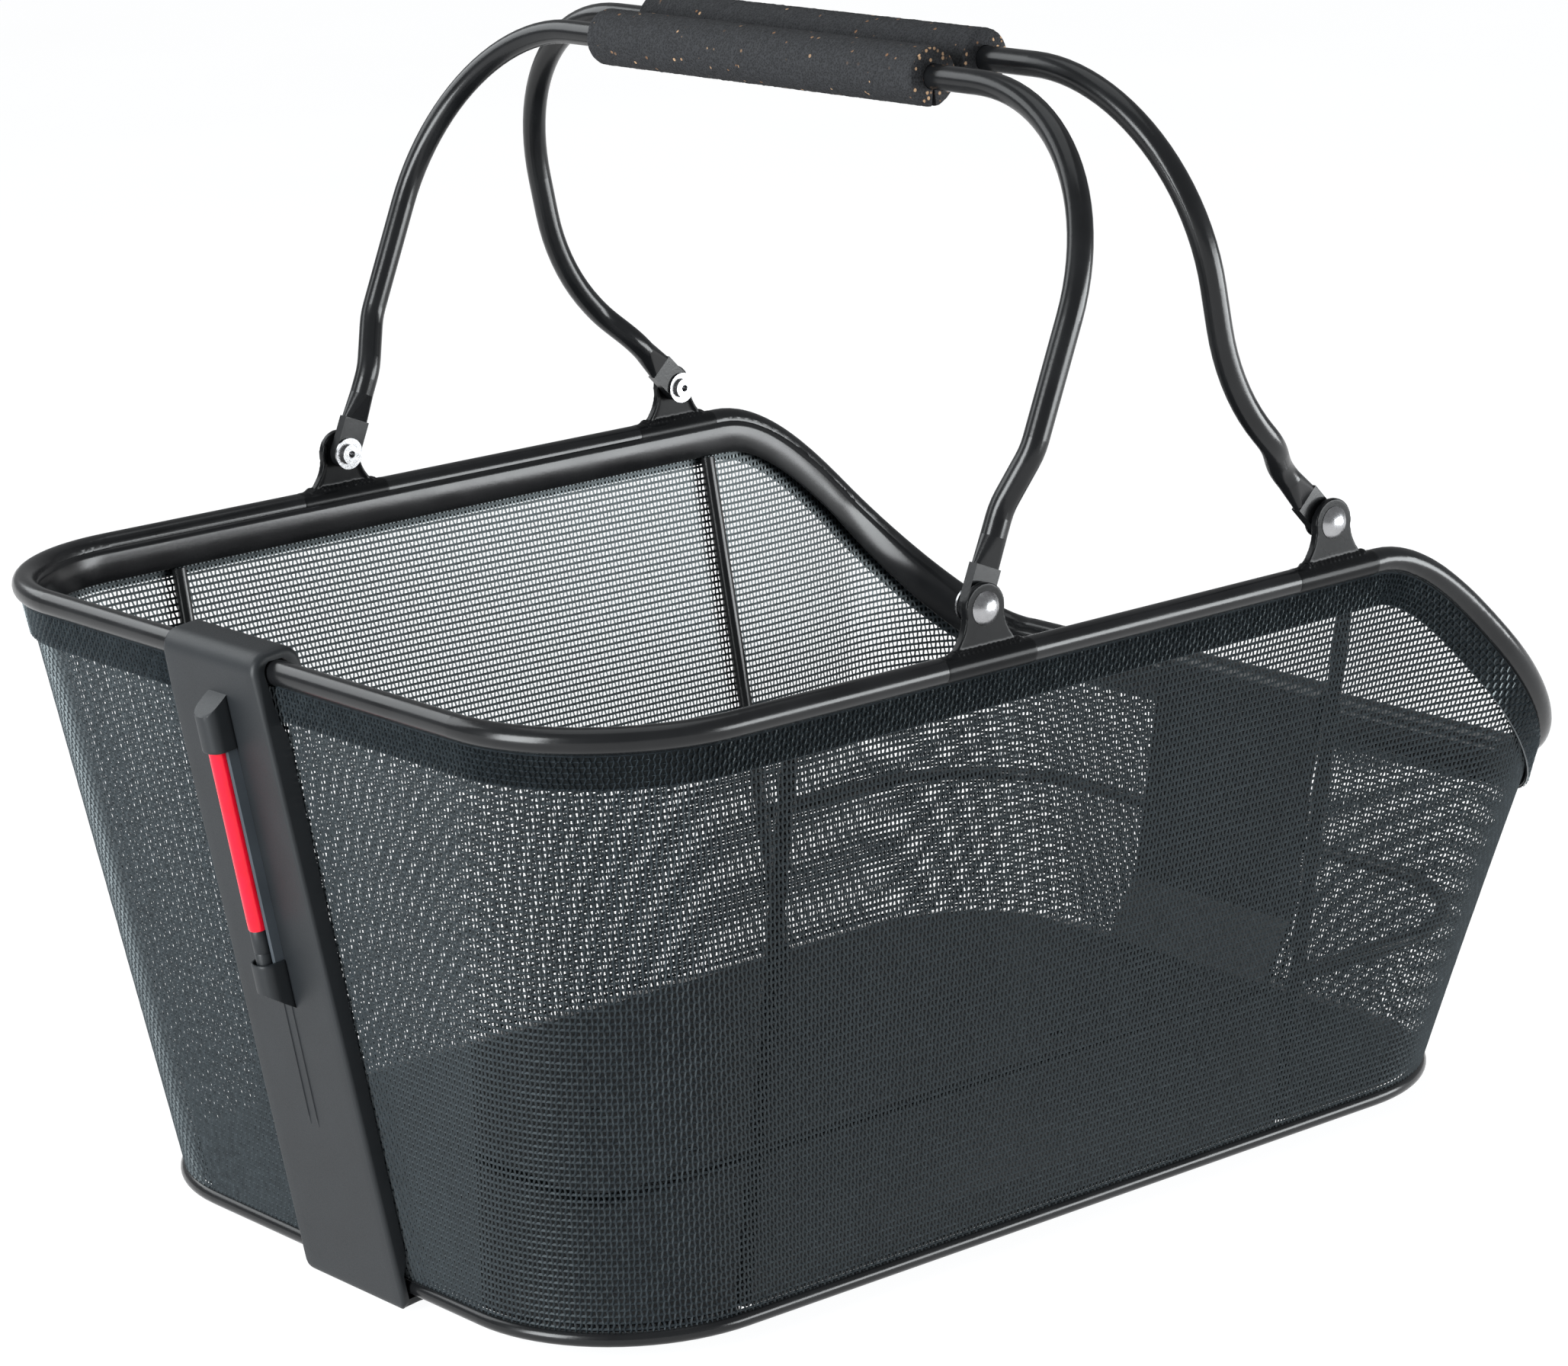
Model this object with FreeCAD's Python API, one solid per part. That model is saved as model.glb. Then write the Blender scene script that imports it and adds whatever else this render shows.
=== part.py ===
"""Bicycle rear-carrier basket with a stretched mesh wall and two folding bail handles.

Millimetres, +Z up, +X towards the saddle (the low end of the rim), -X towards the tail light.
The origin is the centre of the bounding box, on the surface that the basket stands on.
"""
import FreeCAD
import Part

import math
import os

V = FreeCAD.Vector
UP = V(0, 0, 1)

# Overall frame of the basket
FORWARD = 4.7            # rim centre ahead of the bounding-box centre: the light stands out astern
RIM_LENGTH = 425.0       # between the centrelines of the rim tube's two end runs
RIM_WIDTH = 330.0
RIM_HEIGHT = 204.2       # rim centreline above the ground along the level part
TAIL_RADIUS = 56.0       # rim corner radius in plan, tail end
SADDLE_RADIUS = 51.0     # rim corner radius in plan, saddle end
DIP_START = 104.6        # where the rim starts to fall, ahead of the rim's centre
DIP_RUN = 132.8          # length of rim over which it falls
DIP_DEPTH = 90.6
RIM_TUBE_R = 4.0

RING_LENGTH = 384.4      # bottom ring, between centrelines
RING_WIDTH = 258.6
RING_RADIUS = 56.6
RING_FORWARD = 3.1       # ring centre ahead of the rim centre
RING_HEIGHT = 7.5
RING_ROD_R = 2.5

# Strips and mesh that hang from the rim, measured down the wall and out from it
SKIN_GAP = 0.3           # air between neighbouring skins
FLANGE_DROP = (3.9, 12.0)
FLANGE_OFFSET = (-3.6, -2.4)
MESH_TOP = 4.6
MESH_THICKNESS = 0.8
HEM_DROP = (4.8, 14.5)
HEM_OFFSET = (1.5, 2.4)

# Inner wires
WIRE_R = 2.5
RIB_X = (-132.0, 96.0)   # ahead of the rim centre
WIRE_INSET = 2.9         # wire centre inside the mesh
HOOP_HEIGHT = 62.5
HOOP_RADIUS = 58.0
HOOP_HALF_WIDTH = 136.0
HOOP_END_X = 201.2       # ahead of the rim centre

# Floor pan
PAN_TOP = 15.5
PAN_THICKNESS = 1.5
PAN_EDGE_Z = 10.4        # underside of the sloping border, just above the ring
PAN_BORDER = 13.0        # width of the sloping border in plan
PAN_INSET = 1.0          # pan edge inside the ring's centreline

# Feet: rubber studs under the pan, as (x ahead of the rim centre, y)
FOOT_R = 5.0
FOOT_PLACES = [(-154.0, 103.0), (-126.0, 108.0), (67.0, 108.0)]

# Carrier plate: a bent strip on the floor, up the saddle end and over the rim
PLATE_HALF_WIDTH = 39.5
PLATE_THICKNESS = 2.0
PLATE_TAIL_X = -121.0
PLATE_CORNER_R = 15.0
PLATE_BEND_X = 177.0
PLATE_BEND_RUN = 14.0
PLATE_BEND_RISE = 20.0
PLATE_FACE_Z = (PAN_TOP + 0.2, PAN_TOP + 0.2 + PLATE_THICKNESS)
CARRIER_HOLES_X = (-70.0, 90.0)      # ahead of the rim centre
CARRIER_HOLES_Y = (-26.0, 26.0)
CARRIER_HOLE_R = 2.75

# Ears and pivots
TAIL_PIVOT_X = -61.3
SADDLE_PIVOT_X = 84.6
PIVOT_HEIGHT = 220.2
EAR_FACE_Y = (163.6, 166.1)
EAR_TOP_R = 7.6
EAR_BASE_HALF = 13.0
EAR_FOOT_HALF = 18.0
EAR_FOOT_SKIN = 1.3
SPACER_Y = (162.9, 163.5)
BAIL_END_Y = (159.3, 162.8)
WASHER_Y = (158.5, 159.2)
RIVET_INNER_Y = 157.0
RIVET_SHANK_R = 2.45
PIVOT_HOLE_R = 2.5
RIVET_HEAD_R = 5.2
RIVET_HEAD_H = 2.6
RIVET_ROLL_R = 3.5
RIVET_BORE_R = 1.25
WASHER_R = 5.4
SPACER_R = 4.5

# Bails
BAIL_TUBE_R = 4.0
BAIL_END_HALF = 5.0      # half width of the flattened end
BAIL_FLAT_LENGTH = 12.0  # from the pivot to where the flat starts to swell into the tube
BAIL_SWELL_LENGTH = 9.0
BAIL_END_MID_Y = (BAIL_END_Y[0] + BAIL_END_Y[1]) / 2
BAIL_ARM_Y = 167.5
BAIL_JOGGLE_R = 20.0
TAIL_BAIL_LEAN = math.radians(23.0)
TAIL_BAIL_REACH = 154.3  # pivot to the axis of the grip
TAIL_BAIL_RADII = (BAIL_JOGGLE_R, BAIL_JOGGLE_R, 66.3)
SADDLE_BAIL_CRANK = (-46.3, 48.9)   # (forward, up) from the pivot to the crank
SADDLE_BAIL_TOP = (-64.0, 145.2)
SADDLE_BAIL_RADII = (BAIL_JOGGLE_R, BAIL_JOGGLE_R, 70.0, 64.0)
GRIP_R = 9.5
GRIP_BORE_R = 4.1
GRIP_HALF_LENGTH = 81.0
GRIP_SLIT = 1.2

# Tail strap that carries the light. Drops run down the line from rim to ring, offsets out from it.
STRAP_THICKNESS = 2.5
STRAP_LOW = 204.9        # drop of the strap's lower end
STRAP_FACE = (8.8, 6.0)  # offset of its outer face, at the rim and at its lower end
STRAP_RIGHT_Y = (-19.4, -39.0)
STRAP_LEFT_Y = (30.8, 14.5)
STRAP_SIDE_THICKNESS = 2.0
STRAP_SIDE_DEPTH = (2.8, 1.4)   # offset where the side walls end: over the hem, over the mesh
HOOK_TOP = 7.1
HOOK_BACK = 9.3
HOOK_CORNER_R = 6.4
CHEEK_BORE_R = 4.7
LIGHT_R = 3.0
LIGHT_LIFT = 4.3         # light axis, out from the strap's face
LIGHT_Y = (3.15, -10.29)
LIGHT_DROP = (14.0, 82.4, 97.0)  # upper end, lower end of the red stretch, lower end
LIGHT_BORE_R = 3.15
RAIL_HALF = 4.1
RAIL_TOP = 3.7           # out from the strap's face
SOCKET_HALF = 4.9
SOCKET_TOP = 8.5         # out from the strap's face
SOCKET_EDGE_R = 2.2
UPPER_SOCKET = (24.5, 12.6, 7.2)     # drops of the mouth, of the slope's outer and inner ends
LOWER_SOCKET = (92.8, 102.4, 108.9)

EXPORT_ROOT = "parts"


# ---------------------------------------------------------------- small helpers

def save(name, shape):
    """Write one node, after checking that each of its solids is sound."""
    for solid in shape.Solids:
        if not solid.isValid() or solid.Volume <= 0:
            raise ValueError(name + " has a bad solid")
    shape.exportStep(os.path.join(EXPORT_ROOT, name + ".step"))
    box = shape.BoundBox
    print("%-24s %2d solids %10.1f mm3  x %7.1f %7.1f  y %7.1f %7.1f  z %6.1f %6.1f" % (
        name, len(shape.Solids), shape.Volume,
        box.XMin, box.XMax, box.YMin, box.YMax, box.ZMin, box.ZMax))


def group(solids):
    """Several separate solids as one node."""
    return Part.makeCompound(solids)


def mirror_y(shape):
    """The same shape on the other side of the basket."""
    return shape.mirror(V(0, 0, 0), V(0, 1, 0))


def rounded_path(points, radii):
    """Straight runs between the points, with a tangent arc of a given radius at each corner."""
    edges = []
    start = points[0]
    for corner, radius, before, after in zip(points[1:-1], radii, points, points[2:]):
        back = before - corner
        ahead = after - corner
        back.normalize()
        ahead.normalize()
        half_angle = back.getAngle(ahead) / 2
        tangent = radius / math.tan(half_angle)
        inward = back + ahead
        inward.normalize()
        reach = radius / math.sin(half_angle)
        first = corner + back * tangent
        last = corner + ahead * tangent
        edges.append(Part.LineSegment(start, first).toShape())
        edges.append(Part.Arc(first, corner + inward * (reach - radius), last).toShape())
        start = last
    edges.append(Part.LineSegment(start, points[-1]).toShape())
    return Part.Wire(edges)


def tube(path, radius):
    """A round bar along a path."""
    first = path.OrderedEdges[0]
    start = first.valueAt(first.FirstParameter)
    heading = first.tangentAt(first.FirstParameter)
    section = Part.Wire(Part.makeCircle(radius, start, heading))
    return path.makePipeShell([section], True, False)


def disc(radius, y_low, y_high, x, z):
    """A round bar along Y."""
    return Part.makeCylinder(radius, y_high - y_low, V(x, y_low, z), V(0, 1, 0))


def prism_y(outline, y_low, y_high):
    """A closed outline of (x, z) points, pulled along Y."""
    wire = Part.makePolygon([V(x, y_low, z) for x, z in outline + outline[:1]])
    return Part.Face(wire).extrude(V(0, y_high - y_low, 0))


def rounded_rectangle(length, width, radius, z, forward):
    """A flat rounded rectangle face, centred on the basket's middle line."""
    x, y = length / 2, width / 2
    inner_x, inner_y = x - radius, y - radius
    edges = []
    corners = [(1, 1), (-1, 1), (-1, -1), (1, -1)]
    for i, (sx, sy) in enumerate(corners):
        centre = V(forward + sx * inner_x, sy * inner_y, z)
        turn = math.pi / 2 * i
        ends = [centre + V(math.cos(turn + a), math.sin(turn + a), 0) * radius
                for a in (0, math.pi / 4, math.pi / 2)]
        edges.append(Part.Arc(*ends).toShape())
        next_sx, next_sy = corners[(i + 1) % 4]
        next_start = (V(forward + next_sx * inner_x, next_sy * inner_y, z)
                      + V(math.cos(turn + math.pi / 2), math.sin(turn + math.pi / 2), 0) * radius)
        edges.append(Part.LineSegment(ends[2], next_start).toShape())
    return Part.Face(Part.Wire(edges))


# ---------------------------------------------------------------- the wall between rim and ring

def rim_height(run):
    """Rim centreline height, at a run of tube past the start of the dip."""
    t = max(0.0, min(1.0, run / DIP_RUN))
    return RIM_HEIGHT - DIP_DEPTH * t * t * (3 - 2 * t)


def rim_slope(run):
    """Fall of the rim per millimetre of run in plan."""
    t = max(0.0, min(1.0, run / DIP_RUN))
    return -DIP_DEPTH * 6 * t * (1 - t) / DIP_RUN


class Station:
    """One place on the rim, the place on the ring below it, and the wall's directions there."""

    def __init__(self, rim_xy, ring_xy, heading, run):
        self.rim = V(rim_xy[0] + FORWARD, rim_xy[1], rim_height(run))
        self.ring = V(ring_xy[0] + FORWARD, ring_xy[1], RING_HEIGHT)
        self.along = V(heading[0], heading[1], rim_slope(run))
        self.along.normalize()
        self.ring_along = V(heading[0], heading[1], 0)
        down = self.ring - self.rim
        self.rim_down = self.square_down(down, self.along)
        self.ring_down = self.square_down(down, self.ring_along)
        self.rim_out = self.rim_down.cross(self.along)
        self.ring_out = self.ring_down.cross(self.ring_along)

    @staticmethod
    def square_down(down, along):
        """The wall's downward direction, square to the edge it hangs from."""
        square = down - along * down.dot(along)
        square.normalize()
        return square

    def hang(self, drop, offset):
        """A point this far down the wall from the rim, and this far out of it."""
        return self.rim + self.rim_down * drop + self.rim_out * offset

    def stand(self, rise, offset):
        """A point this far up the wall from the ring, and this far out of it."""
        return self.ring - self.ring_down * rise + self.ring_out * offset


def wall_spans():
    """The right-hand half of the wall, tail to saddle, as spans of stations.

    Heading runs from the tail along the right side (-Y) to the saddle end.
    """
    half_l, half_w = RIM_LENGTH / 2, RIM_WIDTH / 2
    ring_l, ring_w = RING_LENGTH / 2, RING_WIDTH / 2
    flat_l = ring_l - RING_RADIUS
    flat_w = ring_w - RING_RADIUS
    side_low, side_high = -half_l + TAIL_RADIUS, half_l - SADDLE_RADIUS

    def ring_side_x(x):
        share = (x - side_low) / (side_high - side_low)
        return RING_FORWARD - flat_l + share * 2 * flat_l

    def corner(radius, sign, angle):
        """Station on a plan corner; angle from the side (0) to the end (pi/2)."""
        away = (sign * math.sin(angle), -math.cos(angle))
        heading = (math.cos(angle), sign * math.sin(angle))
        rim_xy = (sign * (half_l - radius) + radius * away[0], -(half_w - radius) + radius * away[1])
        ring_xy = (RING_FORWARD + sign * flat_l + RING_RADIUS * away[0],
                   -flat_w + RING_RADIUS * away[1])
        run = (side_high - DIP_START + radius * angle) if sign > 0 else 0.0
        return Station(rim_xy, ring_xy, heading, run)

    end_run = side_high - DIP_START + SADDLE_RADIUS * math.pi / 2
    tail_end = [Station((-half_l, 0), (RING_FORWARD - ring_l, 0), (0, -1), 0.0),
                corner(TAIL_RADIUS, -1, math.pi / 2)]
    tail_corner = [corner(TAIL_RADIUS, -1, math.pi / 2 * (1 - i / 6)) for i in range(7)]
    level_side = [Station((x, -half_w), (ring_side_x(x), -ring_w), (1, 0), 0.0)
                  for x in (side_low, DIP_START)]
    steps = 6
    falling_side = []
    for i in range(steps + 1):
        x = DIP_START + (side_high - DIP_START) * i / steps
        falling_side.append(Station((x, -half_w), (ring_side_x(x), -ring_w), (1, 0), x - DIP_START))
    saddle_corner = [corner(SADDLE_RADIUS, 1, math.pi / 2 * i / 8) for i in range(9)]
    saddle_end = [corner(SADDLE_RADIUS, 1, math.pi / 2),
                  Station((half_l, 0), (RING_FORWARD + ring_l, 0), (0, 1), end_run)]
    return [tail_end, tail_corner, level_side, falling_side, saddle_corner, saddle_end]


def edge_through(points):
    """A straight edge through two points, a smooth one through more."""
    if len(points) == 2:
        return Part.LineSegment(*points).toShape()
    curve = Part.BSplineCurve()
    curve.interpolate(points)
    return curve.toShape()


def wall_band(top_outer, top_inner, bottom_outer, bottom_inner):
    """A closed band right round the basket. Each argument gives a point of a station."""
    faces = []
    for side in (1, -1):
        for span in wall_spans():
            lines = []
            for place in (top_outer, bottom_outer, bottom_inner, top_inner):
                points = [place(station) for station in span]
                lines.append(edge_through([V(p.x, p.y * side, p.z) for p in points]))
            for i in range(4):
                faces.append(Part.makeRuledSurface(lines[i], lines[(i + 1) % 4]))
    shell = Part.makeShell(faces)
    shell.sewShape()
    return Part.makeSolid(shell.Shells[0])


def rim_band(drop, offset):
    """A strip that hangs square from the rim, between two drops and two offsets."""
    return wall_band(lambda s: s.hang(drop[0], offset[1]), lambda s: s.hang(drop[0], offset[0]),
                     lambda s: s.hang(drop[1], offset[1]), lambda s: s.hang(drop[1], offset[0]))


# ---------------------------------------------------------------- basket pieces

def rim_tube():
    """The rim: one bent tube, closed on itself, low at the saddle end."""
    edges = [edge_through([station.rim for station in span]) for span in wall_spans()]
    half = tube(Part.Wire(edges), RIM_TUBE_R)
    return half.fuse(mirror_y(half)).removeSplitter()


def bottom_ring():
    """The bottom ring: a rounded rectangle of rod."""
    outline = rounded_rectangle(RING_LENGTH, RING_WIDTH, RING_RADIUS, RING_HEIGHT,
                                FORWARD + RING_FORWARD).OuterWire
    return tube(outline, RING_ROD_R)


def mesh_wall():
    """The stretched mesh, as a thin closed skin from rim to ring."""
    ring_rise = RING_ROD_R + SKIN_GAP
    return wall_band(lambda s: s.hang(MESH_TOP, MESH_THICKNESS), lambda s: s.hang(MESH_TOP, 0),
                     lambda s: s.stand(ring_rise, MESH_THICKNESS), lambda s: s.stand(ring_rise, 0))


def side_rib(x, side, radius=WIRE_R, foot_gap=1.2):
    """An upright wire inside the mesh, from the flange's lower edge to just above the ring."""
    down = V(0, RING_WIDTH / 2 - RIM_WIDTH / 2, RING_HEIGHT - RIM_HEIGHT)
    down.normalize()
    inset = V(0, down.z, -down.y) * WIRE_INSET
    top = V(x + FORWARD, RIM_WIDTH / 2, RIM_HEIGHT) + down * (FLANGE_DROP[1] + SKIN_GAP) + inset
    bottom = V(x + FORWARD, RING_WIDTH / 2, RING_HEIGHT) - down * (RING_ROD_R + foot_gap) + inset
    rib = Part.makeCylinder(radius, (bottom - top).Length, top, bottom - top)
    return rib if side > 0 else mirror_y(rib)


def end_hoop():
    """A wire at mid height round the saddle end, from one front rib to the other."""
    start_x = RIB_X[1] + FORWARD + WIRE_R + SKIN_GAP
    end_x = HOOP_END_X + FORWARD
    places = [(start_x, 1), (end_x, 1), (end_x, -1), (start_x, -1)]
    points = [V(x, side * HOOP_HALF_WIDTH, HOOP_HEIGHT) for x, side in places]
    return tube(rounded_path(points, [HOOP_RADIUS, HOOP_RADIUS]), WIRE_R)


def carrier_holes():
    """Drills for the four holes through the plate and the pan, where the carrier's clamps go."""
    return [Part.makeCylinder(CARRIER_HOLE_R, 20, V(x + FORWARD, y, PAN_EDGE_Z - 4))
            for x in CARRIER_HOLES_X for y in CARRIER_HOLES_Y]


def floor_pan():
    """A pressed pan: level in the middle, with a border that slopes down to the ring."""
    forward = FORWARD + RING_FORWARD

    def layer(lift):
        outer = rounded_rectangle(RING_LENGTH - 2 * PAN_INSET, RING_WIDTH - 2 * PAN_INSET,
                                  RING_RADIUS - PAN_INSET, PAN_EDGE_Z + lift, forward)
        shrink = PAN_INSET + PAN_BORDER
        inner = rounded_rectangle(RING_LENGTH - 2 * shrink, RING_WIDTH - 2 * shrink,
                                  RING_RADIUS - shrink, PAN_TOP - PAN_THICKNESS + lift, forward)
        return Part.makeLoft([outer.OuterWire, inner.OuterWire], True, True)

    skin = layer(PAN_THICKNESS).cut(layer(0))
    edge = rounded_rectangle(RING_LENGTH - 2 * PAN_INSET, RING_WIDTH - 2 * PAN_INSET,
                             RING_RADIUS - PAN_INSET, PAN_EDGE_Z, forward)
    hollow = rounded_rectangle(RING_LENGTH - 2 * PAN_INSET - 3, RING_WIDTH - 2 * PAN_INSET - 3,
                               RING_RADIUS - PAN_INSET - 1.5, PAN_EDGE_Z, forward)
    border = edge.cut(hollow).extrude(UP * PAN_THICKNESS)
    pan = skin.fuse(border.cut(layer(0))).removeSplitter()
    notches = [side_rib(x, side, WIRE_R + SKIN_GAP, -RING_ROD_R) for x in RIB_X for side in (1, -1)]
    return pan.cut(carrier_holes() + notches)


def floor_feet():
    """Rubber studs with domed ends, under the pan along both sides."""
    feet = []
    top = PAN_TOP - PAN_THICKNESS - 0.1
    for x, y in FOOT_PLACES:
        for side in (1, -1):
            body = Part.makeCylinder(FOOT_R, top - 2.0, V(x + FORWARD, side * y, 2.0))
            toe = Part.makeCone(FOOT_R - 2.0, FOOT_R, 2.0, V(x + FORWARD, side * y, 0))
            feet.append(body.fuse(toe).removeSplitter())
    return group(feet)


def plate_outline():
    """Side view (x, z) of the carrier plate's upper, inner face, tail to saddle, up to the rim."""
    end = RIM_LENGTH / 2 + FORWARD
    bend_x = PLATE_BEND_X + FORWARD
    rim_z = RIM_HEIGHT - DIP_DEPTH
    hook = RIM_TUBE_R + SKIN_GAP + PLATE_THICKNESS
    wall_x = bend_x + PLATE_BEND_RUN
    return [(PLATE_TAIL_X + FORWARD, PLATE_FACE_Z[1]), (bend_x, PLATE_FACE_Z[1]),
            (wall_x, PLATE_FACE_Z[1] + PLATE_BEND_RISE), (end - hook, rim_z - 1.0)]


def offset_outline(points, distance):
    """The same open line of (x, z) points, moved sideways by a distance with sharp corners."""
    moved = []
    for i, (x, z) in enumerate(points):
        directions = []
        for a, b in ((i - 1, i), (i, i + 1)):
            if a >= 0 and b < len(points):
                dx, dz = points[b][0] - points[a][0], points[b][1] - points[a][1]
                length = math.hypot(dx, dz)
                directions.append((dx / length, dz / length))
        nx = sum(d[1] for d in directions)
        nz = -sum(d[0] for d in directions)
        length = math.hypot(nx, nz)
        nx, nz = nx / length, nz / length
        stretch = distance / (nx * directions[0][1] - nz * directions[0][0])
        moved.append((x + nx * stretch, z + nz * stretch))
    return moved


def carrier_plate():
    """The bent plate: floor strip, slope, end wall and the hook over the low end of the rim."""
    inner = plate_outline()
    outer = offset_outline(inner, PLATE_THICKNESS)
    w = PLATE_HALF_WIDTH
    strip = prism_y(inner + outer[::-1], -w, w)
    rim = V(RIM_LENGTH / 2 + FORWARD, 0, RIM_HEIGHT - DIP_DEPTH)
    bore = RIM_TUBE_R + SKIN_GAP
    hook = disc(bore + PLATE_THICKNESS, -w, w, rim.x, rim.z).cut(disc(bore, -w, w, rim.x, rim.z))
    below = Part.makeBox(30, 2 * w, 20, V(rim.x - 15, -w, rim.z - 22.5))
    hook = hook.cut(below)
    plate = strip.fuse(hook).removeSplitter()
    floor_top = PLATE_FACE_Z[1] + 1
    tail = PLATE_TAIL_X + FORWARD
    r = PLATE_CORNER_R
    for side in (1, -1):
        corner = Part.makeBox(r, r, 10, V(tail, w - r if side > 0 else -w, floor_top - 6))
        keep = Part.makeCylinder(r, 10, V(tail + r, side * (w - r), floor_top - 6))
        plate = plate.cut(corner.cut(keep))
    return plate.cut(carrier_holes())


# ---------------------------------------------------------------- ears, rivets and bails

def ear(x, side):
    """A pressed ear on the rim tube, round at the top and flared at its foot."""
    low_z = RIM_HEIGHT + RIM_TUBE_R + 0.2
    base, top = EAR_BASE_HALF, EAR_TOP_R
    y = EAR_FACE_Y[0]
    x += FORWARD
    shoulder = V(top * 0.97, 0, -top * 0.22)
    pivot = V(x, y, PIVOT_HEIGHT)
    right_foot = V(x + base, y, low_z)
    left_foot = V(x - base, y, low_z)
    right = pivot + shoulder
    left = pivot + V(-shoulder.x, 0, shoulder.z)
    waist = V(top * 1.08, 0, -top * 0.95)
    wire = Part.Wire([
        Part.LineSegment(left_foot, right_foot).toShape(),
        Part.Arc(right_foot, pivot + waist, right).toShape(),
        Part.Arc(right, pivot + V(0, 0, top), left).toShape(),
        Part.Arc(left, pivot + V(-waist.x, 0, waist.z), left_foot).toShape()])
    face = Part.Face(wire).extrude(V(0, EAR_FACE_Y[1] - EAR_FACE_Y[0], 0))
    inner = RIM_TUBE_R + 0.05
    saddle = Part.makeCylinder(inner + EAR_FOOT_SKIN, 2 * EAR_FOOT_HALF,
                               V(x - EAR_FOOT_HALF, RIM_WIDTH / 2, RIM_HEIGHT), V(1, 0, 0))
    saddle = saddle.cut(Part.makeCylinder(inner, 3 * EAR_FOOT_HALF,
                                          V(x - 1.5 * EAR_FOOT_HALF, RIM_WIDTH / 2, RIM_HEIGHT),
                                          V(1, 0, 0)))
    keep = Part.makeBox(2 * EAR_FOOT_HALF, 9, 9,
                        V(x - EAR_FOOT_HALF, RIM_WIDTH / 2 - 2.6, RIM_HEIGHT + 1.2))
    bar = Part.makeBox(2 * base, EAR_FACE_Y[1] - y, 3, V(x - base, y, RIM_HEIGHT + 2))
    bar = bar.cut(Part.makeCylinder(inner, 4 * base, V(x - 2 * base, RIM_WIDTH / 2, RIM_HEIGHT),
                                    V(1, 0, 0)))
    shape = face.fuse([saddle.common(keep), bar]).removeSplitter()
    shape = shape.cut(disc(PIVOT_HOLE_R, y - 1, EAR_FACE_Y[1] + 1, x, PIVOT_HEIGHT))
    return shape if side > 0 else mirror_y(shape)


def pivot_places():
    """The four pivots, as (x, side)."""
    return [(x + FORWARD, side) for x in (TAIL_PIVOT_X, SADDLE_PIVOT_X) for side in (1, -1)]


def on_both_sides(make):
    """One small turned piece at each pivot."""
    solids = []
    for x, side in pivot_places():
        solid = make(x)
        solids.append(solid if side > 0 else mirror_y(solid))
    return group(solids)


def rivet(x):
    """A rivet: domed head outside, shank through ear, spacer, bail and washer, rolled end inside."""
    head_y = EAR_FACE_Y[1] + 0.05
    ball_r = (RIVET_HEAD_R ** 2 + RIVET_HEAD_H ** 2) / (2 * RIVET_HEAD_H)
    ball = Part.makeSphere(ball_r, V(x, head_y + RIVET_HEAD_H - ball_r, PIVOT_HEIGHT))
    head = ball.common(disc(RIVET_HEAD_R + 1, head_y, head_y + 10, x, PIVOT_HEIGHT))
    shank = disc(RIVET_SHANK_R, RIVET_INNER_Y, head_y + 0.5, x, PIVOT_HEIGHT)
    roll_high = WASHER_Y[0] - 0.05
    roll = disc(RIVET_ROLL_R, RIVET_INNER_Y, roll_high, x, PIVOT_HEIGHT)
    bore = disc(RIVET_BORE_R, RIVET_INNER_Y - 1, RIVET_INNER_Y + 4, x, PIVOT_HEIGHT)
    return head.fuse([shank, roll]).cut(bore).removeSplitter()


def ring_y(outer, y_range, x):
    """A flat washer round a rivet."""
    return disc(outer, y_range[0], y_range[1], x, PIVOT_HEIGHT).cut(
        disc(PIVOT_HOLE_R, y_range[0] - 1, y_range[1] + 1, x, PIVOT_HEIGHT))


def flat_end(pivot, direction):
    """A bail's flattened end, from its rounded tip to where it starts to swell."""
    thickness = BAIL_END_Y[1] - BAIL_END_Y[0]
    base = V(pivot.x, BAIL_END_Y[0], pivot.z)
    half = direction.cross(V(0, 1, 0)) * BAIL_END_HALF
    far = base + direction * BAIL_FLAT_LENGTH
    outline = Part.Wire([
        Part.Arc(base - half, base - direction * BAIL_END_HALF, base + half).toShape(),
        Part.LineSegment(base + half, far + half).toShape(),
        Part.LineSegment(far + half, far - half).toShape(),
        Part.LineSegment(far - half, base - half).toShape()])
    return Part.Face(outline).extrude(V(0, thickness, 0))


def slot_section(centre, side, half_width, half_height):
    """A rounded section: two straight sides along `side`, closed by arcs."""
    up = V(0, half_height, 0)
    inner = side * (half_width - half_height)
    corners = [centre + inner + up, centre + side * half_width, centre + inner - up,
               centre - inner - up, centre - side * half_width, centre - inner + up]
    return Part.Wire([
        Part.Arc(corners[0], corners[1], corners[2]).toShape(),
        Part.LineSegment(corners[2], corners[3]).toShape(),
        Part.Arc(corners[3], corners[4], corners[5]).toShape(),
        Part.LineSegment(corners[5], corners[0]).toShape()])


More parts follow.
